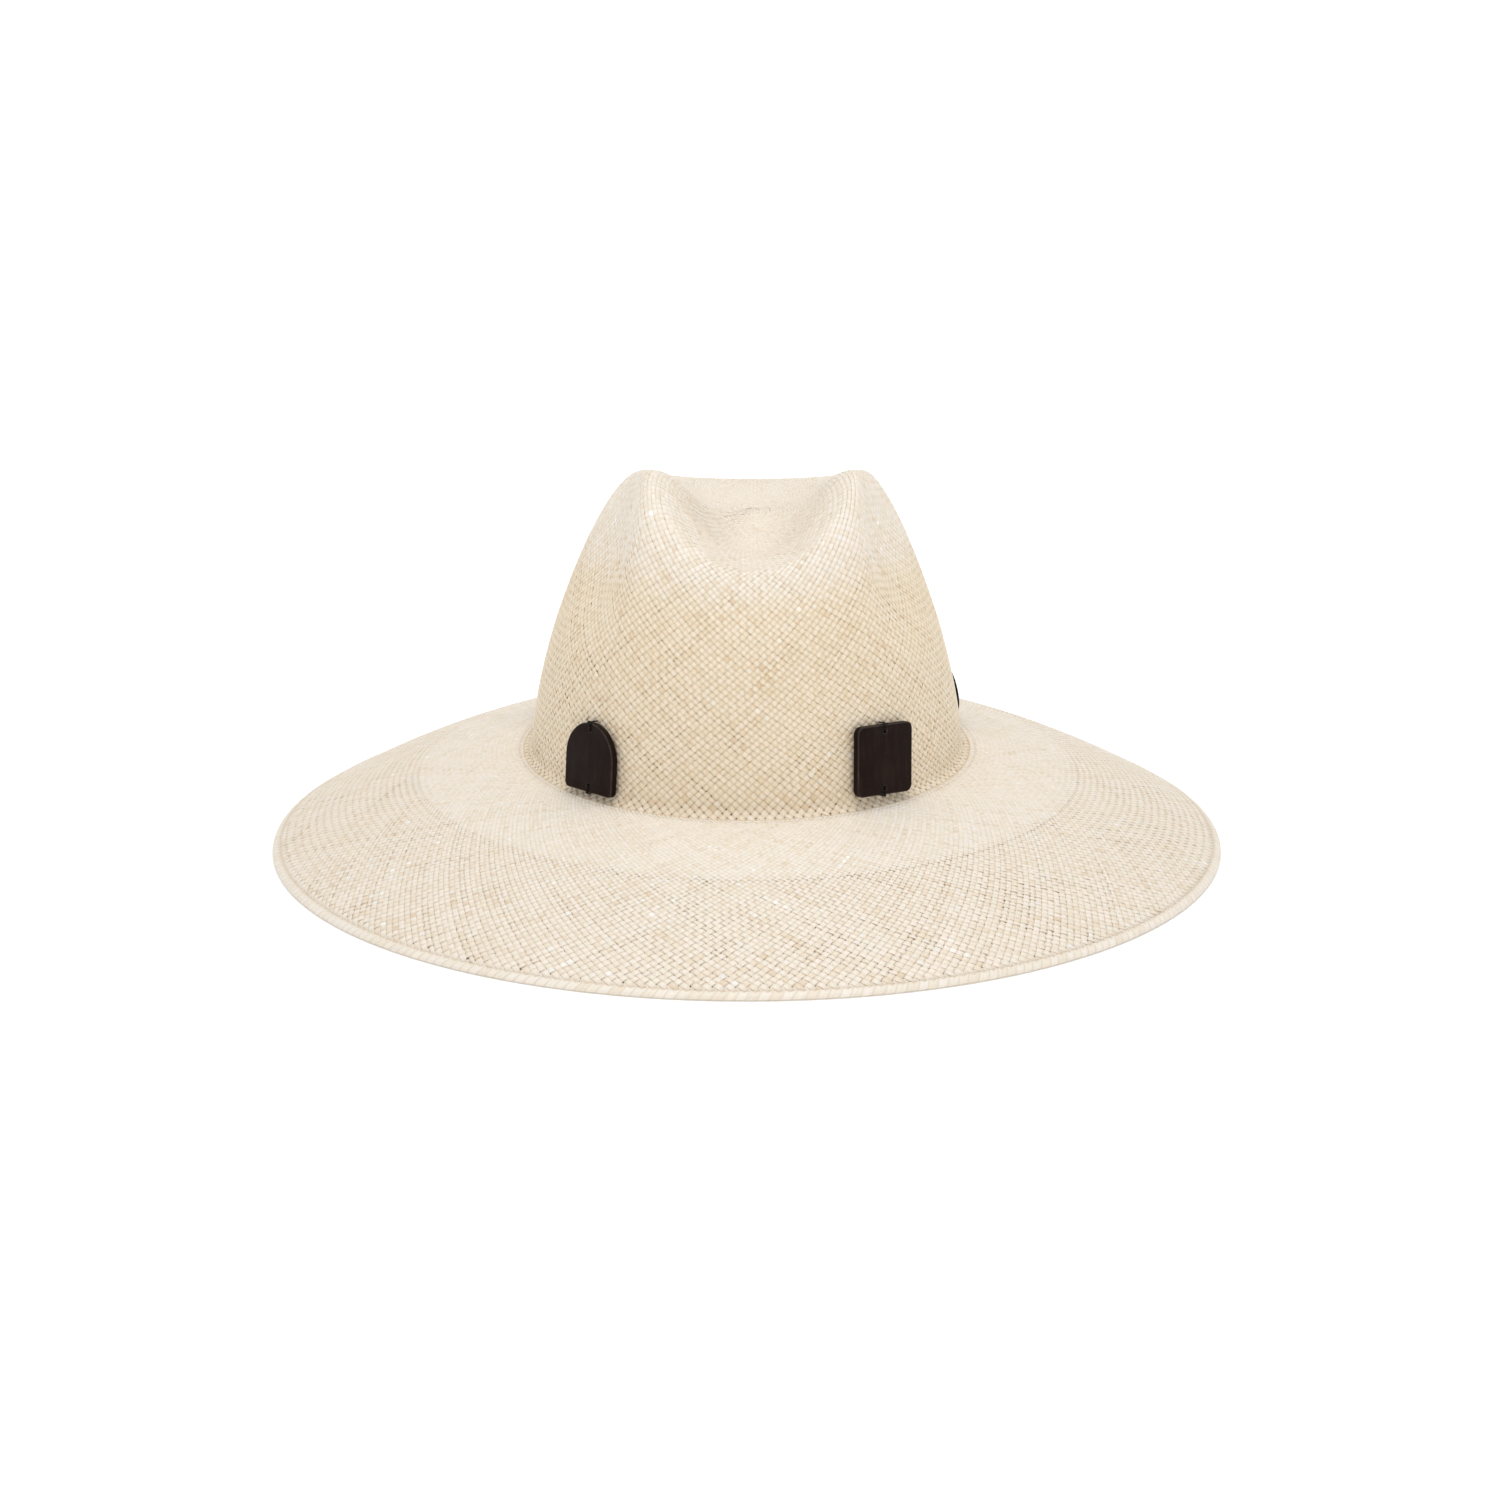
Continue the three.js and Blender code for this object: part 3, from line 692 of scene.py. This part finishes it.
# Each is a distance in from the rim, and a height.
RIM_PATH = (
    (6.4, brim_top(6.4) - 1.5),
    (4.4, brim_top(4.4) - 1.8),
    (2.6, 0.5),
    (1.4, 0.06),
    (0.35, 0.1),
    (0.0, 0.75),
    (0.5, brim_top(0.5)),
    (2.0, brim_top(2.0) + 0.1),
    (3.0, brim_top(3.0)),
    (3.6, brim_top(3.6) - 0.3),
    (4.6, brim_top(4.6) - 0.9),
    (6.2, brim_top(6.2) - 1.2),
)


def smooth_path(path, steps, times=3):
    """Evenly spaced places along a path with its corners cut."""
    path = np.array(path)
    for _ in range(times):
        cut = [0.75 * path[:-1] + 0.25 * path[1:], 0.25 * path[:-1] + 0.75 * path[1:]]
        path = np.concatenate([path[:1], np.stack(cut, 1).reshape(-1, 2), path[-1:]])
    run = run_along(path)
    at = np.linspace(0, run[-1], steps)
    return np.stack([np.interp(at, run, path[:, i]) for i in range(2)], -1), at


def make_rim():
    """The straw turned round the rim: strands laid close side by side on a slant."""
    path, run = smooth_path(RIM_PATH, EDGE_STEPS)
    columns = EDGE_STRANDS * EDGE_COLUMNS
    angle = np.arange(columns)[:, None] * TAU / columns
    strand = angle / TAU * EDGE_STRANDS + EDGE_SLANT * run[None] / run[-1]
    strand = strand + 0.06 * np.sin(angle * 37) + 0.05 * np.sin(angle * 91 + 1)
    across = 2 * (strand % 1) - 1
    number = np.floor(strand).astype(int) % EDGE_STRANDS
    tangent = np.gradient(path, axis=0)
    outwards = unit(np.stack([tangent[:, 1], -tangent[:, 0]], -1))
    outwards = outwards * np.sign(-outwards[EDGE_STEPS // 2, 0])
    relief = -EDGE_GROOVE * np.abs(across) ** EDGE_GROOVE_POWER
    relief = relief + 0.1 * (random.random(EDGE_STRANDS)[number] - 0.5) * (1 - across**2)
    beyond = (path[:, 0] - ZIGZAG_IN - ZIGZAG_REACH * np.abs(across)) / ZIGZAG_SLOPE
    on_top = np.arange(EDGE_STEPS) > EDGE_STEPS // 2
    relief = relief - ZIGZAG_DROP * np.where(on_top, np.clip(beyond, 0, 1), 0)
    inward = path[:, 0] + relief * outwards[:, 0]
    height = np.maximum(path[:, 1] + relief * outwards[:, 1], 0.0)
    points = oval_point(angle, BRIM_REACH - inward, height)
    index, quads = closed_grid(points)
    if not facing_out(points.reshape(-1, 3), quads):
        quads = quads[:, ::-1]
    along = np.broadcast_to(run[None], index.shape)
    tone = 0.3 + 0.4 * random.random(EDGE_STRANDS)[number]
    cell = 0.3 + 0.4 * random.random(EDGE_STRANDS)[number]
    # Painted shade between the roll's strands: the material darkens the straw where this value
    # runs high.
    shade_across = np.clip(1.35 * np.abs(across) - 0.2, 0, 1)
    # Painted shade towards the roll's foot, and along the zigzag.
    level = np.interp(path[:, 1], EDGE_SHADE_HEIGHTS, EDGE_SHADE_LEVELS)
    level = np.broadcast_to(level, index.shape)
    level = level - ZIGZAG_SHADE * np.where(on_top, np.clip(beyond + ZIGZAG_SHADE_EARLY, 0, 1), 0)
    pale = np.full(index.shape, EDGE_PALE)
    layers = {
        "straw": np.stack([along, shade_across, tone], -1).reshape(-1, 3),
        "weave": np.stack([cell, level, pale], -1).reshape(-1, 3),
    }
    add_piece(
        "rim_roll", points.reshape(-1, 3), [quads], ["brim_edge"], edge_straw, layers
    )


make_rim()

# ---- Places on and inside the crown's wall ----
WALL_STEPS = np.linspace(-1, 1, 240)


def along_at_height(angle, height):
    """The along of the places on the wall that are so high above the break."""
    angle, height = np.broadcast_arrays(np.asarray(angle, float), height)
    spots = crown_point(angle.ravel()[:, None], WALL_STEPS[None])[..., 2] - BREAK_Z
    found = [np.interp(h, z, WALL_STEPS) for h, z in zip(height.ravel(), spots, strict=True)]
    return np.array(found).reshape(angle.shape)


def inside_wall(angle, height, depth):
    """A place inside the wall, which is carried straight down below its foot."""
    angle, height, depth = np.broadcast_arrays(angle, height, depth)
    along = along_at_height(angle, np.maximum(height, FLARE))
    p = crown_point(angle, along) - outward(crown_point, angle, along) * depth[..., None]
    p[..., 2] = BREAK_Z + height
    return p


class PlateAxes:
    """A plate's own axes on the wall: x along it, y up it and z out of it."""

    def __init__(self, angle, height, turn):
        self.angle = math.radians(angle)
        along = along_at_height(self.angle, height)
        out = outward(crown_point, self.angle, along)
        right = crown_point(self.angle + 0.01, along) - crown_point(self.angle - 0.01, along)
        right = unit(right - out * (right @ out))
        up = np.cross(out, right)
        c, s = math.cos(math.radians(turn)), math.sin(math.radians(turn))
        self.axes = np.array([c * right + s * up, c * up - s * right, out])
        self.origin = crown_point(self.angle, along)

    def place(self, points):
        return self.origin + points @ self.axes

    def wall_level(self, y):
        """How far the wall lies from the plate's own plane, at a distance up the plate."""
        height = self.place(np.array([0.0, y, 0.0]))[2] - BREAK_Z
        spot = crown_point(self.angle, along_at_height(self.angle, height))
        return float((spot - self.origin) @ self.axes[2])


# ---- The horn plates ----
def arc(x, y, radius_x, radius_y, start, end, steps=24):
    turn = np.radians(np.linspace(start, end, steps + 1))
    return np.stack([x + radius_x * np.cos(turn), y + radius_y * np.sin(turn)], -1)


CORNER_RADIUS = {"square": 2.4, "arch": 1.8, "half_round": 1.6, "triangle": 2.6}


def plate_outline(shape, width, tall):
    x, y = width / 2, tall / 2
    if shape == "circle":
        return arc(0, 0, x, x, 0, 360, 96)[:-1]
    r = CORNER_RADIUS[shape]
    if shape == "triangle":
        x, y = x - r, y - r
        side = math.degrees(math.atan2(2 * y, x))
        corners = [
            arc(x, -y, r, r, -90, 90 - side),
            arc(0, y, r, r, 90 - side, 90 + side),
            arc(-x, -y, r, r, 90 + side, 270),
        ]
        return np.concatenate(corners)
    top = {
        "square": [arc(x - r, y - r, r, r, 0, 90), arc(r - x, y - r, r, r, 90, 180)],
        "arch": [arc(0, y - x, x, x, 0, 180, 72)],
        "half_round": [arc(0, r - y, x, 2 * y - r, 0, 180, 72)],
    }[shape]
    low_right, low_left = arc(x - r, r - y, r, r, -90, 0), arc(r - x, r - y, r, r, 180, 270)
    return np.concatenate([low_right, *top, low_left])


def make_plate(name, axes, width, tall):
    outline = plate_outline(name, width - 2 * PLATE_BEVEL, tall - 2 * PLATE_BEVEL)
    hole = HOLE_RADIUS + PLATE_BEVEL
    rings = [outline] + [
        arc(0, side * (tall / 2 - HOLE_INSET), hole, hole, 360, 0, 32)[:-1] for side in (-1, 1)
    ]
    curve = bpy.data.curves.new(name, "CURVE")
    curve.dimensions, curve.fill_mode = "2D", "BOTH"
    curve.extrude = PLATE_THICKNESS / 2 - PLATE_BEVEL
    curve.bevel_depth, curve.bevel_resolution = PLATE_BEVEL, 5
    for ring in rings:
        step = np.linalg.norm(ring - np.roll(ring, 1, 0), axis=1)
        ring = ring[step > 1e-4]
        spline = curve.splines.new("POLY")
        spline.points.add(len(ring) - 1)
        for spot, (x, y) in zip(spline.points, ring, strict=True):
            spot.co = (x, y, 0, 1)
        spline.use_cyclic_u = True
    shape_only = bpy.data.objects.new("outline", curve)
    mesh = bpy.data.meshes.new_from_object(shape_only)
    bpy.data.objects.remove(shape_only)

    solid = bmesh.new()
    solid.from_mesh(mesh)
    bmesh.ops.remove_doubles(solid, verts=solid.verts, dist=1e-4)
    bmesh.ops.recalc_face_normals(solid, faces=solid.faces)
    middle = np.array([0, 0, GAP + PLATE_THICKNESS / 2])
    # The bevel's points carry a painted highlight, drawn by the horn's material.
    painted_highlight = []
    for vertex in solid.verts:
        from_face = PLATE_THICKNESS / 2 - abs(vertex.co.z)
        painted_highlight.append(1.0 if 1e-3 < from_face < 0.8 * PLATE_BEVEL else 0.0)
        vertex.co = axes.place(np.array(vertex.co) + middle) * MM
    solid.to_mesh(mesh)
    solid.free()
    rim = mesh.attributes.new("rim", "FLOAT", "POINT")
    rim.data.foreach_set("value", np.array(painted_highlight, np.float32))
    mesh.materials.clear()
    mesh.polygons.foreach_set("use_smooth", np.full(len(mesh.polygons), True))
    mesh.set_sharp_from_angle(angle=math.radians(35))
    declare(mesh, f"horn_{name}", [f"plate_{name}"], horn)


# ---- Thread ----
ROUND_SECTION = np.stack([np.cos(np.arange(6) * TAU / 6), np.sin(np.arange(6) * TAU / 6)], -1)


def closed_path(corners, steps):
    """Evenly spaced places along a closed path with rounded corners."""
    corners = np.asarray(corners, float)
    for _ in range(4):
        after = np.roll(corners, -1, 0)
        corners = np.stack([0.78 * corners + 0.22 * after, 0.22 * corners + 0.78 * after], 1)
        corners = corners.reshape(-1, corners.shape[-1])
    loop = np.concatenate([corners, corners[:1]])
    run = run_along(loop)
    at = np.linspace(0, run[-1], steps, endpoint=False)
    return np.stack([np.interp(at, run, loop[:, i]) for i in range(loop.shape[1])], -1), run[-1]


def frame_along(path, closed):
    """Two directions square to a path, for a round thread swept along it."""
    if closed:
        tangent = unit(np.roll(path, -1, 0) - np.roll(path, 1, 0))
    else:
        tangent = unit(np.gradient(path, axis=0))
    # Any direction will do that no thread runs along.
    off_path = np.array([0.31, 0.17, 0.94])
    side = unit(np.cross(tangent, off_path))
    return side, np.cross(side, tangent)


def plies(path, length, radius, offset, pitch, closed=True):
    """A thread of two strands twisted round each other, along a path."""
    side, normal = frame_along(path, closed)
    turns = max(1, round(length / pitch))
    steps = len(path)
    turn = TAU * turns * np.arange(steps) / (steps if closed else steps - 1)
    turn = turn[None] + math.pi * np.arange(2)[:, None]
    swing = np.cos(turn)[..., None] * side + np.sin(turn)[..., None] * normal
    centre = path[None] + offset * swing
    size = np.full(turn.shape, radius)
    both = [np.broadcast_to(v, centre.shape) for v in (side, normal)]
    points, faces = sweep(centre, *both, size, size, ROUND_SECTION, closed)
    run = np.linspace(0, length, steps)
    layer = np.broadcast_to(run[None, :, None], (2, steps, len(ROUND_SECTION)))
    return points, faces, {"run": layer.reshape(-1)}


# A ply's radius, how far it lies from the thread's middle, and the length of one turn.
LOOP_PLY, KNOT_PLY, TAIL_PLY = (0.19, 0.16, 1.1), (0.14, 0.1, 0.8), (0.15, 0.11, 0.8)
TIE_SAG, TIE_CLEARANCE, TIE_CORNER, TIE_STEPS = 0.15, 0.15, 1.2, 216
KNOT_SIZE, KNOT_LENGTH, TAIL_REACH = {"top": 0.26, "bottom": 0.13}, 24, 1.1


def make_tie(name, end, axes, tall):
    side = 1 if end == "top" else -1
    hole = side * (tall / 2 - HOLE_INSET)
    past = side * (tall / 2 + THREAD_RADIUS + TIE_CLEARANCE)
    over = GAP + PLATE_THICKNESS + THREAD_RADIUS
    under = [axes.wall_level(y) - STRAW - 2 * GAP - THREAD_RADIUS for y in (hole, past)]
    corners = [
        (0, hole, under[0]),
        (TIE_SAG, hole, over - TIE_CORNER),
        (TIE_SAG, hole, over),
        (-TIE_SAG, past, over),
        (-TIE_SAG, past, over - TIE_CORNER),
        (0, past, under[1]),
    ]
    path, length = closed_path(corners, TIE_STEPS)
    group = Parts()
    group.add(*plies(path, length, *LOOP_PLY))

    size = KNOT_SIZE[end]
    t = np.linspace(0, TAU, 60, endpoint=False)
    trefoil = [1.5 * np.sin(t) + 2.6 * np.sin(2 * t), np.cos(t) - 2 * np.cos(2 * t)]
    trefoil = np.stack([*trefoil, -1.4 * np.sin(3 * t)], -1)
    knot_at = np.array([-TIE_SAG, past - side * 0.4, over - 0.25])
    knot = knot_at + size * trefoil
    group.add(*plies(knot, KNOT_LENGTH * size, *KNOT_PLY))
    for way in (-1, 1) if end == "top" else ():
        reach = TAIL_REACH * random.uniform(0.8, 1.2)
        s = np.linspace(0, 1, 14)[:, None]
        lean = np.array([way * 1.0, side * 0.15, 0.2])
        curl = np.array([way * 0.3, -side * 0.25, -0.1])
        tail = knot_at + reach * (lean * s + curl * s**2)
        group.add(*plies(tail, reach, *TAIL_PLY, closed=False))
    group.points = [axes.place(p) for p in group.points]
    group.piece(f"thread_{name}_{end}", [f"tie_{name}_{end}"], "tie_thread", tie_thread)


# ---- Materials of the plates, thread and ribbon ----
def object_place(n):
    return n.tree.nodes.new("ShaderNodeTexCoord").outputs["Object"]


def stretched(n, place, x, y, z):
    node = n.tree.nodes.new("ShaderNodeMapping")
    n.put(node.inputs["Vector"], place)
    node.inputs["Scale"].default_value = (x, y, z)
    return node.outputs[0]


def horn_material():
    material, tree, shader = new_material("horn")
    n = Nodes(tree)
    place = object_place(n)
    streaks = n.noise(stretched(n, place, 420, 420, 60), 1.0, 5.0, 0.62)
    cloud = n.noise(place, 90.0, 3.0, 0.5)
    pits = n.noise(place, 2600.0, 2.0, 0.55)
    wear = n.noise(place, 260.0, 4.0, 0.6)
    pick = n.plus(n.times(streaks, 0.65), n.times(cloud, 0.35))
    colour = n.ramp(
        pick,
        (0.3, (0.0075, 0.0030, 0.0021)),
        (0.5, (0.0125, 0.0053, 0.0037)),
        (0.68, (0.021, 0.0098, 0.0068)),
    )
    colour = n.mix(n.map(wear, 0.56, 0.74, 0.0, 0.3), colour, (0.030, 0.019, 0.0135))
    # Painted highlight along the bevel, broken up by the wear noise.
    rim = n.times(n.attribute("rim").outputs["Fac"], n.map(wear, 0.3, 0.7, 0.25, 0.8))
    colour = n.mix(rim, colour, (0.062, 0.052, 0.047))
    roughness = n.map(wear, 0.25, 0.75, 0.36, 0.56)
    grain = n.plus(n.times(streaks, 0.6), n.times(pits, 0.25))
    n.wire(shader, colour, roughness, n.bump(grain, 0.3, 0.00012), 0.06)
    return material


def thread_material(name, dark, light):
    material, tree, shader = new_material(name)
    n = Nodes(tree)
    run = n.attribute("run").outputs["Fac"]
    fluff = n.noise(object_place(n), 6000.0, 3.0, 0.6)
    twist = n.math("SINE", n.times(run, 14.0))
    pick = n.plus(n.times(fluff, 0.8), n.times(twist, 0.12))
    colour = n.ramp(pick, (0.25, dark), (0.7, light))
    n.wire(shader, colour, n.map(fluff, 0.2, 0.8, 0.6, 0.85), n.bump(pick, 0.4, 0.00008), 0.25)
    return material


def ribbon_material():
    material, tree, shader = new_material("ribbon")
    n = Nodes(tree)
    across, up = n.split(n.attribute("ribbon").outputs["Vector"])[:2]
    rib = n.math("SINE", n.times(across, TAU))
    weft = n.math("SINE", n.times(up, TAU * 3.2))
    fibre_at = n.vector(n.times(across, 0.9), n.times(up, 6.0), 0.0)
    fibre = n.noise(fibre_at, 1.0, 3.0)
    wear = n.noise(object_place(n), 120.0, 3.0)
    pick = n.plus(n.times(fibre, 0.7), n.times(rib, 0.12))
    pick = n.plus(pick, n.times(wear, 0.3))
    colour = n.ramp(pick, (0.25, (0.012, 0.0105, 0.0098)), (0.85, (0.045, 0.040, 0.037)))
    roughness = n.map(fibre, 0.2, 0.8, 0.5, 0.78)
    height = n.plus(n.times(weft, 0.25), n.times(fibre, 0.5))
    n.wire(shader, colour, roughness, n.bump(height, 0.35, 0.00006), 0.3)
    shader.inputs["Sheen Weight"].default_value = 0.15
    shader.inputs["Sheen Roughness"].default_value = 0.4
    return material


horn = horn_material()
tie_thread = thread_material("tie_thread", (0.006, 0.005, 0.0045), (0.028, 0.024, 0.021))
seam_thread = thread_material("seam_thread", (0.010, 0.009, 0.0085), (0.05, 0.045, 0.042))
ribbon = ribbon_material()

for name, angle, height, turn, width, tall in PLATES:
    axes = PlateAxes(angle, height, turn)
    make_plate(name, axes, width, tall)
    for end in ("top", "bottom"):
        make_tie(name, end, axes, tall)

# ---- Sweatband ----
BAND_INSIDE = BAND_DEPTH + BAND_THICKNESS
BAND_RIBS, RIB_RISE = 712, 0.06


def make_sweatband():
    """One closed band of grosgrain, ribbed up and down on both faces."""
    columns = 2 * BAND_RIBS
    angle = np.arange(columns)[:, None] * TAU / columns
    rib = RIB_RISE * np.where(np.arange(columns) % 2, 1.0, -1.0)[:, None]
    edge, face = BAND_THICKNESS * 0.28, np.linspace(0, 1, 9)
    low, high = BAND_LOW, BAND_HIGH
    flat_part = lerp(low + 1, high - 1, face)
    heights = np.concatenate([[low, low + edge], flat_part, [high - edge, high]])
    swell = np.concatenate([[0.0, 0.8], np.ones(len(face)), [0.8, 0.0]])
    middle, half = (BAND_DEPTH + BAND_INSIDE) / 2, BAND_THICKNESS / 2 - RIB_RISE
    outer = middle - swell * (half + rib)
    inner = middle + swell * (half + rib)
    ring_heights = np.concatenate([heights, heights[-2:0:-1]])
    ring_depths = np.concatenate([outer, inner[:, -2:0:-1]], axis=1)
    points = inside_wall(angle, ring_heights[None], ring_depths)
    index, quads = closed_grid(points)
    across = np.broadcast_to(np.arange(columns)[:, None] / 2, index.shape)
    up = np.broadcast_to(ring_heights[None], index.shape)
    layer = np.stack([across, up, np.zeros(index.shape)], -1).reshape(-1, 3)
    # Each ring of points goes up the outer face and down the inner one, so the grid's own
    # faces look in, and are turned round.
    faces, layers = [quads[:, [0, 3, 2, 1]]], {"ribbon": layer}
    points_listed = points.reshape(-1, 3)
    piece = add_piece(
        "sweatband_ribbon", points_listed, faces, ["sweatband"], ribbon, layers
    )


def make_seam(stitches=150, gap=0.3, stitch_length=2.6, ply_radius=0.1512, ply_offset=0.13):
    """The running stitch that holds the band to the straw."""
    t = np.linspace(0, 1, 13)
    start = np.arange(stitches)[:, None]
    angle = TAU / stitches * (start + gap / 2 + (1 - gap) * t)
    rise = np.sin(math.pi * t) ** 0.6
    depth = BAND_INSIDE - SEAM_SUNK + SEAM_RISE * rise
    height = SEAM_HEIGHT + SEAM_WAVER * np.sin(start * 2.4) + SEAM_SLANT * (t - 0.5)
    centre = inside_wall(angle, height, depth)
    tangent = unit(np.gradient(centre, axis=1))
    side = unit(np.cross(tangent, np.array([0.0, 0.0, 1.0])))
    normal = np.cross(side, tangent)
    turn = np.linspace(0, math.pi * 3, len(t))[None, :] + math.pi * np.arange(2)[:, None]
    group = Parts()
    for ply in range(2):
        swing = np.cos(turn[ply])[:, None] * side + np.sin(turn[ply])[:, None] * normal
        size = np.full(angle.shape, ply_radius)
        points, faces = sweep(centre + ply_offset * swing, side, normal, size, size, ROUND_SECTION)
        run = (t * stitch_length)[None, :, None]
        run = np.broadcast_to(run, (stitches, len(t), len(ROUND_SECTION)))
        group.add(points, faces, {"run": run.reshape(-1)})
    group.piece("seam_stitches", ["sweatband_seam"], "seam_thread", seam_thread)


# The wrap round the middle of the bow: its depth and height as shares of the bow's own, its
# half width, and how far that swells and narrows.
WRAP_DEPTH, WRAP_HEIGHT, WRAP_HALF_WIDTH, WRAP_BULGE = 0.42, 0.4, 1.9, 0.06
RIBBON_SECTION = np.array(
    [[-1, -0.5], [-1, 0.5], [-0.9, 1], [-0.45, 1], [0, 1], [0.45, 1], [0.9, 1]]
    + [[1, 0.5], [1, -0.5], [0.9, -1], [0.45, -1], [0, -1], [-0.45, -1], [-0.9, -1]]
)


def make_bow():
    """A flat ribbon bow at the back of the band: two loops and the wrap that gathers them."""
    back = inside_wall(math.pi, BOW_HEIGHT, BAND_INSIDE + GAP)
    middle = back - np.array([0, BOW_LOOP_DEPTH / 2 + BOW_STANDOFF, 0])
    half_deep = BOW_LOOP_DEPTH / 2 - BOW_RIBBON / 2
    group = Parts()
    for sign in (-1, 1):
        t = np.linspace(0, 1, 65)
        swing = np.sin(math.pi * t)
        reach = BOW_LOOP - BOW_RIBBON / 2 - BOW_START
        x = sign * (BOW_START + reach * swing**BOW_ROUNDNESS)
        y = half_deep * np.sin(TAU * t) * lerp(BOW_PINCHED, 1, swing)
        path = middle + np.stack([x, y, BOW_WAVE * np.sin(TAU * t + sign)], -1)
        gathered = lerp(BOW_GATHERED, 1, np.clip(swing * 1.6, 0, 1))
        width = BOW_WIDTH / 2 * gathered
        thick = np.full(len(t), BOW_RIBBON / 2 * BOW_THINNED)
        tangent = unit(np.gradient(path, axis=0))
        up = np.broadcast_to([0.0, 0.0, 1.0], tangent.shape)
        normal = unit(np.cross(tangent, up))
        up = np.cross(normal, tangent)
        run = run_along(path)
        add_ribbon(group, path, up, normal, width, thick, run, closed=False)
    corners = np.array([(0, -1, -1), (0, -1, 1), (0, 1, 1), (0, 1, -1)])
    corners = corners * (1, BOW_LOOP_DEPTH * WRAP_DEPTH, BOW_WIDTH * WRAP_HEIGHT)
    path, length = closed_path(corners, 48)
    tangent = unit(np.roll(path, -1, 0) - np.roll(path, 1, 0))
    side = np.broadcast_to([1.0, 0.0, 0.0], tangent.shape)
    around = TAU * np.arange(len(path)) / len(path)
    width = WRAP_HALF_WIDTH * (1 + WRAP_BULGE * np.cos(2 * around))
    thick = np.full(len(path), BOW_RIBBON / 2)
    run = np.linspace(0, length, len(path))
    add_ribbon(group, middle + path, side, np.cross(side, tangent), width, thick, run, closed=True)
    group.piece("bow_ribbon", ["sweatband_bow"], "ribbon", ribbon)


def add_ribbon(group, path, side, normal, width, thick, run, closed):
    one = [v[None] for v in (path, side, normal, width, thick)]
    points, faces = sweep(*one, RIBBON_SECTION, closed)
    shape = (len(path), len(RIBBON_SECTION))
    across = np.broadcast_to(run[:, None] * 1.25, shape)
    up = np.broadcast_to(RIBBON_SECTION[:, 0] * BOW_WIDTH / 2, shape)
    layer = np.stack([across, up, np.zeros(shape)], -1).reshape(-1, 3)
    group.add(points, faces, {"ribbon": layer})


make_sweatband()
make_seam()
make_bow()

# ---- Camera and light ----
EYE_DISTANCE, EYE_ELEVATION = 2.5, math.radians(15.73)
LENS, SHIFT, SKY_STRENGTH = 149.34, (0.00216, -0.00317), 0.7
camera = new_object("camera", bpy.data.cameras.new("camera"))
camera.location = (
    0,
    -EYE_DISTANCE * math.cos(EYE_ELEVATION),
    BREAK_Z * MM + EYE_DISTANCE * math.sin(EYE_ELEVATION),
)
camera.rotation_euler = (math.pi / 2 - EYE_ELEVATION, 0, 0)
camera.data.sensor_width = 36
camera.data.lens = LENS
camera.data.shift_x, camera.data.shift_y = SHIFT
bpy.context.scene.camera = camera


def area_light(name, location, size, watts):
    light = bpy.data.lights.new(name, "AREA")
    light.shape, light.size, light.energy = "DISK", size, watts
    holder = new_object(name, light)
    holder.location = location
    holder.rotation_euler = (-Vector(location)).to_track_quat("-Z", "Y").to_euler()


area_light("key", (0.1, -1.1, 1.5), size=0.9, watts=4.4)
area_light("overhead", (0.05, 0.0, 1.8), size=0.9, watts=10.4)
world = bpy.data.worlds.new("studio")
bpy.context.scene.world = world
world.use_nodes = True
background = world.node_tree.nodes["Background"]
background.inputs["Color"].default_value = (1, 1, 1, 1)
background.inputs["Strength"].default_value = SKY_STRENGTH
bpy.context.scene.view_settings.view_transform = "Standard"

FLOOR_SIZE, FLOOR_DROP = 14.0, 0.0004
# The floor glows a little, so that it comes out as white as in the photograph, but not under
# the hat.
FLOOR_GLOW, FLOOR_GLOW_FROM = 0.45, (0.15, 0.24)
floor_mesh = bpy.data.meshes.new("floor")
half = FLOOR_SIZE / 2
floor_mesh.from_pydata(
    [(-half, -half, 0), (half, -half, 0), (half, half, 0), (-half, half, 0)], [], [(0, 1, 2, 3)]
)
floor = new_object("floor", floor_mesh)
floor.location.z = -FLOOR_DROP
floor_material, floor_tree, floor_shader = new_material("floor")
floor_shader.inputs["Base Color"].default_value = (0.9, 0.9, 0.9, 1)
floor_shader.inputs["Roughness"].default_value = 0.9
floor_shader.inputs["Specular IOR Level"].default_value = 0.1
floor_shader.inputs["Emission Color"].default_value = (1, 1, 1, 1)
floor_nodes = Nodes(floor_tree)
floor_x, floor_y = floor_nodes.split(object_place(floor_nodes))[:2]
floor_square = [floor_nodes.times(v, v) for v in (floor_x, floor_y)]
from_hat = floor_nodes.math("SQRT", floor_nodes.plus(*floor_square))
glow = floor_nodes.map(from_hat, *FLOOR_GLOW_FROM, 0.0, FLOOR_GLOW)
floor_nodes.put(floor_shader.inputs["Emission Strength"], glow)
floor_mesh.materials.append(floor_material)
